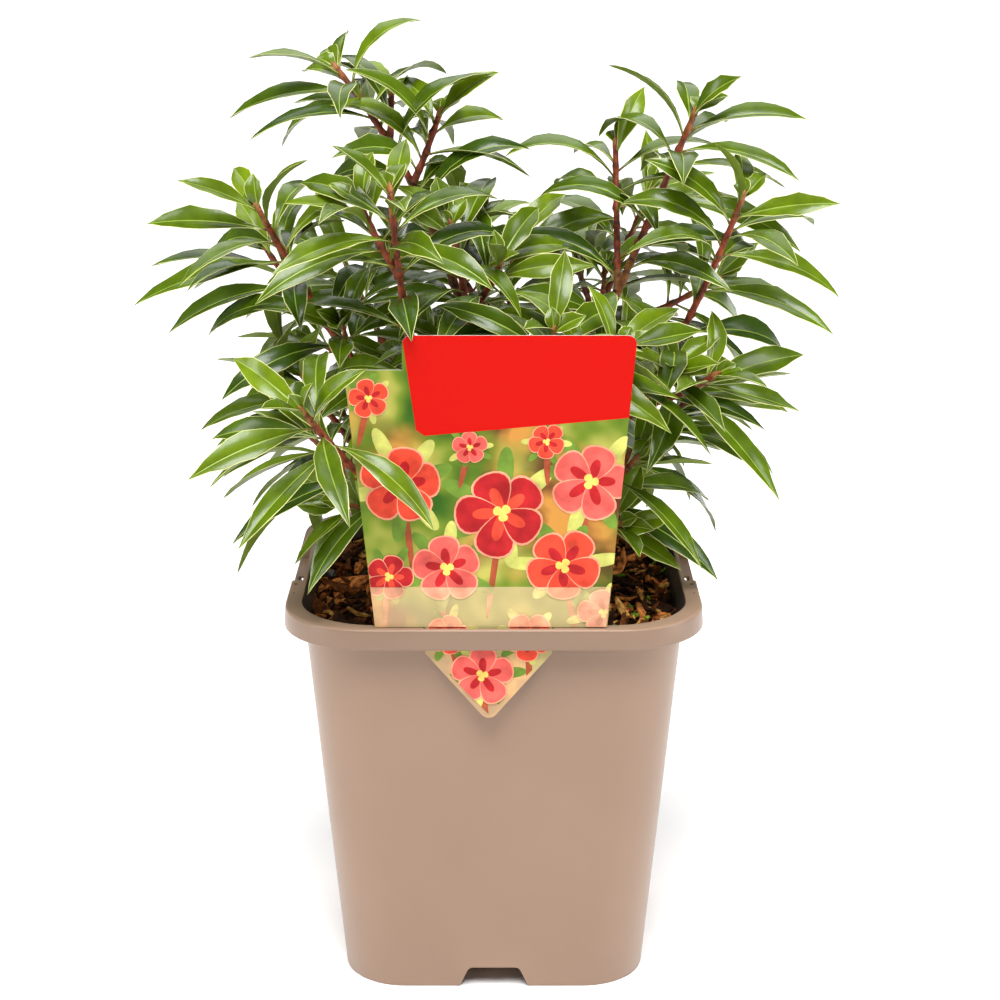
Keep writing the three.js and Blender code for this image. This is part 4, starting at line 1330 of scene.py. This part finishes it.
def clear_of_header(leaf):
    """A leaf turned down about its root where its tip would hang in front of the label's header."""
    x, y, z = leaf_points(leaf, 1.0, 0.0, 0.0)
    if y > LABEL_Y or not LABEL_HEADER_LEFT < x < 0 or not HEADER_LEVELS[0] < z < HEADER_LEVELS[1]:
        return leaf
    cosine, sine = math.cos(HEADER_TURN), math.sin(HEADER_TURN)
    turn = np.array([[cosine, 0, sine], [0, 1, 0], [-sine, 0, cosine]])
    return leaf | {key: turn @ leaf[key] for key in ("along", "across", "face")}


def curled(leaf, random):
    """A leaf that droops a little more, and its twist at each row; neither where it would touch the pot."""
    upright = max(0.0, leaf["along"][2] - 0.35) / 0.65
    outward = max(0.0, unit(leaf["root"] * (1, 1, 0)) @ leaf["along"] - 0.4) / 0.6
    outward *= min(1.0, math.hypot(*leaf["root"][:2]) / OUTWARD_FULL)
    droop = leaf["droop"] * random.uniform(0.95, 1.25) * (1 - OUTWARD_STRETCH * outward)
    droop += UPRIGHT_DROOP * upright
    drooping = leaf | {"droop": droop, "length": leaf["length"] * (1 + OUTWARD_GROWTH * outward)}
    twist = np.radians(random.uniform(-14, 14) + random.uniform(-38, 38) * ROWS)
    rows, turn = ROWS[BLADE_ROW:, None], twist[BLADE_ROW:, None]
    half = plain_half(leaf, rows) * np.array([-1, 0, 1])
    points = leaf_points(drooping, rows, half * np.cos(turn), half * np.sin(turn))
    if near_pot(points.reshape(-1, 3)):
        return leaf, 0 * twist
    return drooping, twist


@functools.cache
def leaf_faces():
    """Faces that every leaf has, the material of each, and the creases along the margins and the midrib."""
    faces, kinds, sharp = [], [], []
    end = COLUMNS * len(ROWS)
    for start in range(0, end, COLUMNS):
        last = start + COLUMNS == end
        for a, b, kind in RING:
            a, b = start + a, start + b
            faces.append((a, b, end) if last else (a, b, b + COLUMNS, a + COLUMNS))
            kinds.append(STALK if start == 0 else kind)
        for crease in (0, 2, 3, 5):
            sharp.append((start + crease, end if last else start + crease + COLUMNS))
    faces.append((0, 6, 7, 5, 4, 3, 2, 1))
    kinds.append(STALK)
    return faces, kinds, sharp


def leaf_part(leaf, random, margin_width):
    """One leaf: pale margins, green blade halves folded up along a sunk midrib, and an underside."""
    length = leaf["length"]
    leaf, twist = curled(clear_of_header(leaf), random)
    sides = [blade_half(leaf, random), blade_half(leaf, random)]
    half = (sides[0] + sides[1]) / 2
    fold = lerp(0.42, 0.26, leaf["age"]) + random.uniform(-0.08, 0.08)
    wave = 0.05 * half * np.sin(2 * math.pi * (1.6 * ROWS + random.random()))
    sickle = random.uniform(-0.05, 0.05) * length * ROWS**2
    rib = np.minimum(RIB_HALF * (1 - 0.6 * ROWS), 0.4 * half)
    columns = []

    def turned_points(out, lift):
        across = out * np.cos(twist) - lift * np.sin(twist)
        return leaf_points(leaf, ROWS, across + sickle, out * np.sin(twist) + lift * np.cos(twist))

    for sign, own in zip((-1, 1), sides):
        edge = own - np.minimum(margin_width, 0.3 * own)
        found = []
        for out, height in ((own, 1), (edge, 1), (rib, 0)):
            lift = fold * out + height * sign * wave + height * 0.2
            if out is own:
                lift = lift - EDGE_THICKNESS
            found.append(turned_points(sign * out, lift))
        columns += found if sign < 0 else found[::-1]
    for sign in (-1, 1):
        columns.append(turned_points(sign * 1.3 * rib, 0.1 * ROWS - RIB_THICKNESS))
    grid = np.stack(columns, axis=1)
    tip = leaf_points(leaf, 1.0, random.uniform(-0.2, 0.2) + sickle[-1] * 1.15, 0.0)
    points = np.concatenate([grid.reshape(-1, 3), tip[None]]) * MM
    return points.tolist(), *leaf_faces()


def leaf_material(name, tint, roughness, veins=0.0):
    """A leaf's surface: a soft gloss, a little wandering of the colour and a faint relief."""
    gloss = {"Specular_IOR_Level": 0.36, "Coat_Weight": 0.22, "Coat_Roughness": 0.15}
    material, shader = principled(name, Base_Color=tint, Roughness=roughness, **gloss)
    pattern = noise_node(material, 130)
    ramp = ramp_node(material, pattern, [(0.32, shade(tint, 0.78)), (0.68, shade(tint, 1.2))])
    material.node_tree.links.new(ramp.outputs["Color"], shader.inputs["Base Color"])
    if veins:
        add_bump(material, shader, noise_node(material, 900, 2), veins, 0.15 * MM)
    return material


LEAF_KINDS = ("old", "dark", "grown", "light", "young")


# For leaves up to a number from the tip: each kind, and the luck up to which a leaf gets it.
SPRAYS = (
    (3, (("young", 0.3), ("light", 0.75), ("grown", 1))),
    (ROSETTE_LEAVES, (("grown", 0.55), ("dark", 0.85), ("light", 1))),
    (math.inf, (("dark", 0.5), ("old", 0.85), ("grown", 1))),
)


def leaf_kind(leaf, random):
    """Which spray of colour a leaf gets, by its age and by luck."""
    if leaf["number"] < 0:
        return "light"
    luck = random.random()
    spray = next(spray for reach, spray in SPRAYS if leaf["number"] < reach)
    return next(kind for kind, share in spray if luck < share)


class SHRUB_OT_leaves(bpy.types.Operator):
    """Make all the leaves, joined by their kind"""

    bl_idname = "shrub.leaves"
    bl_label = "Leaves"

    def execute(self, context):
        settings = context.scene.leaf_settings
        _, leaves = grow_plant()
        random = np.random.default_rng(8)
        parts = {kind: [] for kind in LEAF_KINDS}
        for leaf in leaves:
            part = leaf_part(leaf, random, settings.margin_width / MM)
            parts[leaf_kind(leaf, random)].append(part)
        dark, blade, fresh = (np.array(getattr(settings, key)) for key in ("dark", "blade", "fresh"))
        tints = {
            "old": dark,
            "dark": lerp(dark, blade, 0.5),
            "grown": blade,
            "light": lerp(blade, fresh, 0.4),
            "young": lerp(blade, fresh, 0.85),
        }
        shared = [
            leaf_material("Pale margin", tuple(settings.margin), 0.45),
            leaf_material("Midrib", tuple(settings.rib), 0.45),
            leaf_material("Leaf underside", tuple(settings.under), 0.6),
            leaf_material("Leaf stalk", (0.24, 0.17, 0.03), 0.5),
        ]
        for number, kind in enumerate(LEAF_KINDS):
            name = f"leaves_{kind}"
            piece = joined_mesh(name, parts[kind])
            blade_material = leaf_material(f"Leaf {kind}", tuple(tints[kind]), 0.27, 0.35)
            settle(piece, name, [blade_material, *shared])
            if number == 0:
                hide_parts(*(f"foliage_{name}" for name in LIMB_NAMES))
        return {"FINISHED"}


BUD_LENGTH, BUD_RADIUS, BUD_DEPTH = 4.4, 1.25, 0.4
BUD_SIDES = 6
BUD_RINGS = ((0.0, 0.85), (0.22, 1.0), (0.5, 0.82), (0.78, 0.42))  # how far along, and how thick


def bud_part(stem):
    """A pointed bud of six sides, turned a little from ring to ring, at the tip of a stem."""
    point, axis, across, other = stem.at(1)
    foot, tip = point - axis * BUD_DEPTH, point + axis * (BUD_LENGTH - BUD_DEPTH)
    vertices = []
    for ring, (along, out) in enumerate(BUD_RINGS):
        for i in range(BUD_SIDES):
            angle = 2 * math.pi * i / BUD_SIDES + ring * 0.5
            radius = BUD_RADIUS * out * (1.12 if i % 2 == ring % 2 else 0.92)
            outward = across * math.cos(angle) + other * math.sin(angle)
            vertices.append(lerp(foot, tip, along) + outward * radius)
    points = np.array([*vertices, foot, tip]) * MM
    faces = [face[::-1] for face in tube_faces(len(BUD_RINGS), BUD_SIDES)]
    return points.tolist(), faces, [0] * len(faces), ()


class SHRUB_OT_buds(bpy.types.Operator):
    """Make the small scaly buds at the tips"""

    bl_idname = "shrub.buds"
    bl_label = "Buds"

    def execute(self, context):
        limbs, _ = grow_plant()
        stems = [stem for limb in limbs for stem in (limb["path"], *limb["sides"], *limb["twigs"])]
        parts = [bud_part(stem) for stem in stems]
        piece = joined_mesh("tip_buds", parts)
        bud = mottled("Bud scales", (0.36, 0.13, 0.035), 0.5, spread=0.4, scale=500, grain=1500)
        settle(piece, "tip_buds", [bud])
        return {"FINISHED"}


# ---- label ---------------------------------------------------------------------------------

HEADER_LINE = ((-26.8, 214.6), (46.0, 221.2))  # the header's slanting lower edge, in millimetres
HEADER_SIDE = ((-30.6, 249.5), (-25.8, 214.6))
HEADER_CORNER = ((-26.15, 217), (-23.3, 214.91))
BAND_TOP = 161.3  # the print is faded below this
TONGUE_BEND, TONGUE_TIP = 137, 112.8
TIP_ROUND, HEADER_ROUND, CARD_ROUND = 5, 4, 1.5
HEADER_RED, PRINTED_GROUND, FADED_GROUND = 1, 2, 3  # materials of the face; the card's edge is 0


def label_outline():
    """The card's corners, each (x, z, corner radius), in millimetres."""
    left, right = TONGUE_CENTRE / MM - TONGUE_HALF / MM, TONGUE_CENTRE / MM + TONGUE_HALF / MM
    return [
        (LABEL_FOOT_LEFT, LABEL_FOOT, 0),
        (left, LABEL_FOOT, 0),
        (left, TONGUE_BEND, 0),
        (TONGUE_CENTRE / MM, TONGUE_TIP - 1.5, TIP_ROUND),
        (right, TONGUE_BEND, 0),
        (right, LABEL_FOOT, 0),
        (LABEL_FOOT_RIGHT, LABEL_FOOT, 0),
        (LABEL_HEADER_RIGHT, LABEL_HEADER_TOP, HEADER_ROUND),
        (LABEL_HEADER_LEFT, LABEL_HEADER_TOP, HEADER_ROUND),
        (LABEL_HEADER_LEFT, LABEL_CARD_TOP, 0),
        (LABEL_CARD_LEFT, LABEL_CARD_TOP, CARD_ROUND),
    ]


def side_of(line, x, z):
    """Above zero to the left of a line."""
    (x0, z0), (x1, z1) = line
    return (x1 - x0) * (z - z0) - (z1 - z0) * (x - x0)


def clip(polygon, line):
    """The part of a polygon that lies to the left of a line."""
    kept = []
    for (x0, z0), (x1, z1) in zip(polygon, polygon[1:] + polygon[:1]):
        first, second = side_of(line, x0, z0), side_of(line, x1, z1)
        if first >= 0:
            kept.append((x0, z0))
        if first * second < 0:
            share = first / (first - second)
            kept.append((lerp(x0, x1, share), lerp(z0, z1, share)))
    return kept


class SHRUB_OT_label(bpy.types.Operator):
    """Make the picture label's card"""

    bl_idname = "shrub.label"
    bl_label = "Label"

    def execute(self, context):
        settings = context.scene.label_settings
        deselect()
        corners = label_outline()
        points = [(x * MM, LABEL_LOW.y, z * MM) for x, z, _ in corners]
        mesh = bpy.data.meshes.new("label_card")
        mesh.from_pydata(points, [], [range(len(points))])
        card = bpy.data.objects.new("label_card", mesh)
        bpy.context.scene.collection.objects.link(card)
        for radius in (TIP_ROUND, HEADER_ROUND, CARD_ROUND):
            edit(card)
            bpy.ops.mesh.select_all(action="DESELECT")
            bpy.ops.object.mode_set(mode="OBJECT")
            wanted = [(x, z) for x, z, corner in corners if corner == radius]
            for vertex in mesh.vertices:
                vertex.select = any(
                    math.hypot(vertex.co.x / MM - x, vertex.co.z / MM - z) < 0.01 for x, z in wanted
                )
            bpy.ops.object.mode_set(mode="EDIT")
            bpy.ops.mesh.bevel(offset=0.8 * radius * MM, segments=6, affect="VERTICES")
        header = [HEADER_LINE, HEADER_SIDE, HEADER_CORNER]
        level = [((LABEL_CARD_LEFT, z), (LABEL_HEADER_RIGHT, z)) for z in (BAND_TOP, LABEL_FOOT)]
        for (x0, z0), (x1, z1) in header + level:
            bpy.ops.mesh.select_mode(type="FACE")
            bpy.ops.mesh.select_all(action="SELECT")
            normal = Vector((-(z1 - z0), 0, x1 - x0)).normalized()
            bpy.ops.mesh.bisect(plane_co=(x0 * MM, 0, z0 * MM), plane_no=normal)
        bpy.ops.object.mode_set(mode="OBJECT")
        for material in label_materials(settings):
            mesh.materials.append(material)
        for face in mesh.polygons:
            x, z = face.center.x / MM, face.center.z / MM
            if min(side_of(line, x, z) for line in header) > 0:
                face.material_index = HEADER_RED
            else:
                face.material_index = FADED_GROUND if z < BAND_TOP else PRINTED_GROUND
        apply_modifier(
            card, "SOLIDIFY", thickness=settings.thickness, offset=-1, material_offset_rim=-9,
            material_offset=-9,
        )
        settle(card, "label_card")
        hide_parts("label")
        return {"FINISHED"}


def label_materials(settings):
    """Card, bare header, printed ground and its faded band."""
    gloss = {"Roughness": 0.35, "Specular_IOR_Level": 0.1}
    card, _ = principled("Card edge", Base_Color=tuple(settings.card), **gloss)
    header, _ = principled("Header red", Base_Color=tuple(settings.header), **gloss)
    found = [card, header]
    for name, fade in (("Printed ground", 0.0), ("Faded ground", FADE)):
        ground, shader = principled(name, **gloss)
        blend = ground.node_tree.nodes.new("ShaderNodeMix")
        blend.data_type = "RGBA"
        links = ground.node_tree.links
        for socket, (scale, detail, stops) in GROUND_NOISES.items():
            tints = [(place, tint if socket == "Factor" else faded(tint, fade)) for place, tint in stops]
            ramp = ramp_node(ground, noise_node(ground, scale, detail), tints)
            links.new(ramp.outputs["Color"], blend.inputs[socket])
        links.new(blend.outputs["Result"], shader.inputs["Base Color"])
        found.append(ground)
    return found


FADE = 0.5
FADED_TO = (0.74, 0.52, 0.3)
GROUND_NOISES = {  # leafy and warm patches and where each shows: scale, detail, and colours at their places
    "A": (48, 2, [(0.34, (0.03, 0.1, 0.008)), (0.5, (0.15, 0.22, 0.02)), (0.66, (0.46, 0.42, 0.09))]),
    "B": (80, 2, [(0.4, (0.55, 0.25, 0.05)), (0.62, (0.11, 0.03, 0.012))]),
    "Factor": (34, 1, [(0.46, (0, 0, 0)), (0.58, (1, 1, 1))]),
}


def faded(tint, fade):
    """A printed colour, paled towards the card."""
    return tuple(lerp(np.array(tint), np.array(FADED_TO), fade))


LAYER = 0.0015  # each printed shape stands this much higher than the one before, in millimetres
FIELD_STEP = 0.2  # and in each field by this part of it
BAND_FOOT = LABEL_FOOT + 0.3
PRINTED = (  # the fields of the picture: fade, and corners from the lower left on, turning left
    (0, [(-42.3, BAND_TOP), (40.6, BAND_TOP), HEADER_LINE[1], HEADER_LINE[0], (-47.6, 212.7)]),
    (0, [(-47.4, 212.4), (-26.9, 214.4), (-29.3, 236.6), (-49.3, 236.6)]),
    (1, [(-40.6, BAND_FOOT), (38.9, BAND_FOOT), (40.3, BAND_TOP - 0.1), (-42.1, BAND_TOP - 0.1)]),
    (0, [(-1.7, 114.4), (19.4, 137.4), (19.4, LABEL_FOOT), (-22.8, LABEL_FOOT), (-22.8, 137.4)]),
)
SMALLEST_SCRAP = 0.4  # in square millimetres
INKS = {
    "coral": (0.68, 0.06, 0.03), "pink": (0.7, 0.105, 0.085), "deep": (0.42, 0.015, 0.018),
    "pale": (0.78, 0.3, 0.18), "yellow": (0.8, 0.55, 0.12), "green": (0.14, 0.24, 0.03),
    "lime": (0.5, 0.5, 0.12), "stem": (0.36, 0.075, 0.03),
}
# the blossoms: x, z, radius, ink, turn in degrees
BLOSSOMS = (
    (-31, 198, 14.5, "coral", 10), (3, 188, 16, "deep", 40), (33, 199, 14, "pink", 0),
    (-16, 168, 12.5, "pink", 25), (24, 169, 13.5, "coral", 55), (-42, 228, 7, "coral", 30),
    (-36, 165, 8.5, "deep", 0), (-8, 211, 6, "pink", 20), (18, 213, 6.5, "coral", 50),
    (-4, 129, 11, "pink", 15), (12, 143, 9, "coral", 50), (-16, 144, 8, "coral", 0), (38, 152, 9, "pink", 30),
)
PETAL_POINTS = 22


def petal(x, z, turn, length, width, blunt=0.35):
    """The outline of a rounded petal or leaf that starts at a point."""
    points = []
    for step in range(PETAL_POINTS):
        angle = 2 * math.pi * step / PETAL_POINTS
        along = length * (0.5 - 0.5 * math.cos(angle))
        across = -width / 2 * math.sin(angle) * (1 - blunt * math.cos(angle))
        points.append((
            x + along * math.cos(turn) - across * math.sin(turn),
            z + along * math.sin(turn) + across * math.cos(turn),
        ))
    return points


def blossom_shapes():
    """The print's shapes from the ground up, each (outline, ink)."""
    random = np.random.default_rng(5)
    shapes = []
    for x, z, radius, ink, turn in BLOSSOMS:
        foot = (x + random.uniform(-6, 6), z - 2.4 * radius)
        stem = math.atan2(z - foot[1], x - foot[0])
        shapes.append((petal(*foot, stem, math.hypot(z - foot[1], x - foot[0]), 2.2, 0), "stem"))
        for number in range(6):
            angle = math.radians(turn + 60 * number + random.uniform(-16, 16))
            tint = "lime" if random.random() < 0.5 else "green"
            shapes.append((petal(x, z, angle, radius * random.uniform(1.15, 1.5), radius * 0.34), tint))
    for x, z, radius, ink, turn in BLOSSOMS:
        for number in range(5):
            angle = math.radians(turn + 72 * number)
            length = radius * random.uniform(0.9, 1.05)
            shapes.append((petal(x, z, angle, length, radius * 0.8, 0.5), "pale"))
            shapes.append((petal(x, z, angle, length * 0.96, radius * 0.72, 0.5), ink))
            shade_ink = "deep" if ink != "deep" else "coral"
            shapes.append((petal(x, z, angle, length * 0.62, radius * 0.24, 0.2), shade_ink))
        for number in range(3):
            angle = math.radians(turn + 120 * number)
            shapes.append((petal(x, z, angle, radius * 0.2, radius * 0.2, 0.2), "yellow"))
    return shapes


def printed_prism(outline, layer, kind):
    """A thin closed prism on the card's face, as (vertices, faces, kinds, no sharp edges)."""
    count = len(outline)
    back, front = LABEL_LOW.y + 0.01 * MM, LABEL_LOW.y - (0.02 + layer * LAYER) * MM
    points = [(x * MM, y, z * MM) for y in (front, back) for x, z in outline]
    faces = [tuple(range(count)), tuple(range(2 * count - 1, count - 1, -1))]
    faces += [(i, i + count, (i + 1) % count + count, (i + 1) % count) for i in range(count)]
    return points, faces, [kind] * len(faces), ()


def area(outline):
    """The area inside an outline."""
    pairs = zip(outline, outline[1:] + outline[:1])
    return sum(x0 * z1 - x1 * z0 for (x0, z0), (x1, z1) in pairs) / 2


class SHRUB_OT_print(bpy.types.Operator):
    """Print the label with plain round blossoms"""

    bl_idname = "shrub.print"
    bl_label = "Label print"

    def execute(self, context):
        parts = []
        for layer, (outline, ink) in enumerate(blossom_shapes()):
            for place, (fade, field) in enumerate(PRINTED):
                kept = outline
                for line in zip(field, field[1:] + field[:1]):
                    kept = clip(kept, line) if kept else kept
                if len(kept) > 2 and area(kept) > SMALLEST_SCRAP:
                    kind = list(INKS).index(ink) + fade * len(INKS)
                    parts.append(printed_prism(kept, layer + FIELD_STEP * place, kind))
        finish = {"spread": 0.3, "scale": 150, "bump": 0.02, "Specular_IOR_Level": 0.1}
        materials = []
        for fade, word in ((0.0, "ink"), (FADE, "faded ink")):
            for ink, tint in INKS.items():
                materials.append(mottled(f"{ink.title()} {word}", faded(tint, fade), 0.35, **finish))
        piece = joined_mesh("label_print", parts, smooth=False)
        settle(piece, "label_print", materials)
        return {"FINISHED"}


# ---- stage ---------------------------------------------------------------------------------

FLOOR_SIZE = 60
OVERHEAD_PLACE, BEHIND_PLACE = (0, -0.62, 1.25), (0, 0.8, 1)
BEHIND_WIDTH = 1.5  # how wide the light from behind is, against the one from above
BOX_PLACES = {"Left": (-1.0, -0.35, 0.5), "Right": (1.0, -0.25, 0.5)}
BOX_WIDTH, BOX_HEIGHT = 0.3, 1.1
BOX_TARGET = (0, 0, 0.2)
SENSOR_WIDTH = 36


def place_lamp(data, name, place, target, power):
    """Puts a lamp at a place, facing a point."""
    data.energy = power
    lamp = bpy.data.objects.new(name, data)
    lamp.location = place
    lamp.rotation_euler = (Vector(target) - Vector(place)).to_track_quat("-Z", "Y").to_euler()
    bpy.context.scene.collection.objects.link(lamp)


def soft_box(name, place, power):
    """A large upright lamp that faces the plant."""
    data = bpy.data.lights.new(name, "AREA")
    data.shape = "RECTANGLE"
    data.size, data.size_y = BOX_WIDTH, BOX_HEIGHT
    place_lamp(data, name, place, BOX_TARGET, power)


def white_world(sky):
    """A surround that is white where the camera sees it, and faint where it lights the plant."""
    world = bpy.data.worlds.new("Studio")
    world.use_nodes = True
    nodes, links = world.node_tree.nodes, world.node_tree.links
    background = nodes["Background"]
    background.inputs["Color"].default_value = (1, 1, 1, 1)
    strength = nodes.new("ShaderNodeMath")
    strength.operation = "MAXIMUM"
    strength.inputs[1].default_value = sky
    links.new(nodes.new("ShaderNodeLightPath").outputs["Is Camera Ray"], strength.inputs[0])
    links.new(strength.outputs["Value"], background.inputs["Strength"])
    return world


class SHRUB_OT_stage(bpy.types.Operator):
    """Set up the floor, the lights and the camera"""

    bl_idname = "shrub.stage"
    bl_label = "Stage"

    def execute(self, context):
        settings = context.scene.stage_settings
        deselect()
        bpy.ops.mesh.primitive_plane_add(size=FLOOR_SIZE, location=(0, 0, 0))
        floor = bpy.context.object
        floor.name = "floor"
        material, _ = principled(
            "Pale floor", Base_Color=tuple(settings.floor), Roughness=0.95, Specular_IOR_Level=0.1
        )
        floor.data.materials.append(material)
        context.scene.world = white_world(settings.sky)
        for name, place, power, width in (
            ("Overhead", OVERHEAD_PLACE, settings.overhead, 1),
            ("Behind", BEHIND_PLACE, settings.behind, BEHIND_WIDTH),
        ):
            sun = bpy.data.lights.new(name, "SUN")
            sun.angle = width * settings.softness
            place_lamp(sun, name, place, (0, 0, 0), power)
        for name, place in BOX_PLACES.items():
            soft_box(name, place, settings.sides)
        data = bpy.data.cameras.new("Camera")
        data.lens = settings.lens
        data.sensor_width = SENSOR_WIDTH
        camera = bpy.data.objects.new("Camera", data)
        camera.location = settings.camera
        camera.rotation_euler = (math.pi / 2 - settings.pitch, 0, 0)
        context.scene.collection.objects.link(camera)
        context.scene.camera = camera
        context.scene.view_settings.view_transform = "Standard"
        return {"FINISHED"}


# ---- add-on --------------------------------------------------------------------------------

OPERATORS = (
    SHRUB_OT_pot,
    SHRUB_OT_compost,
    SHRUB_OT_chips,
    SHRUB_OT_label,
    SHRUB_OT_print,
    SHRUB_OT_wood,
    SHRUB_OT_twigs,
    SHRUB_OT_leaves,
    SHRUB_OT_buds,
    SHRUB_OT_stage,
)


class SHRUB_PT_panel(bpy.types.Panel):
    """Lists the shrub's settings and operators"""

    bl_label = "Potted shrub"
    bl_idname = "SHRUB_PT_panel"
    bl_space_type = "VIEW_3D"
    bl_region_type = "UI"
    bl_category = "Shrub"

    def draw(self, context):
        for name, group in SETTINGS.items():
            box = self.layout.box()
            for key in group.__annotations__:
                box.prop(getattr(context.scene, name), key)
        for operator in OPERATORS:
            self.layout.operator(operator.bl_idname)


def register():
    for group in (*SETTINGS.values(), *OPERATORS, SHRUB_PT_panel):
        bpy.utils.register_class(group)
    for name, group in SETTINGS.items():
        setattr(bpy.types.Scene, name, PointerProperty(type=group))


def unregister():
    for name in SETTINGS:
        delattr(bpy.types.Scene, name)
    for group in reversed((*SETTINGS.values(), *OPERATORS, SHRUB_PT_panel)):
        bpy.utils.unregister_class(group)


def main():
    register()
    for operator in OPERATORS:
        group, name = operator.bl_idname.split(".")
        getattr(getattr(bpy.ops, group), name)()


if __name__ == "__main__":
    main()
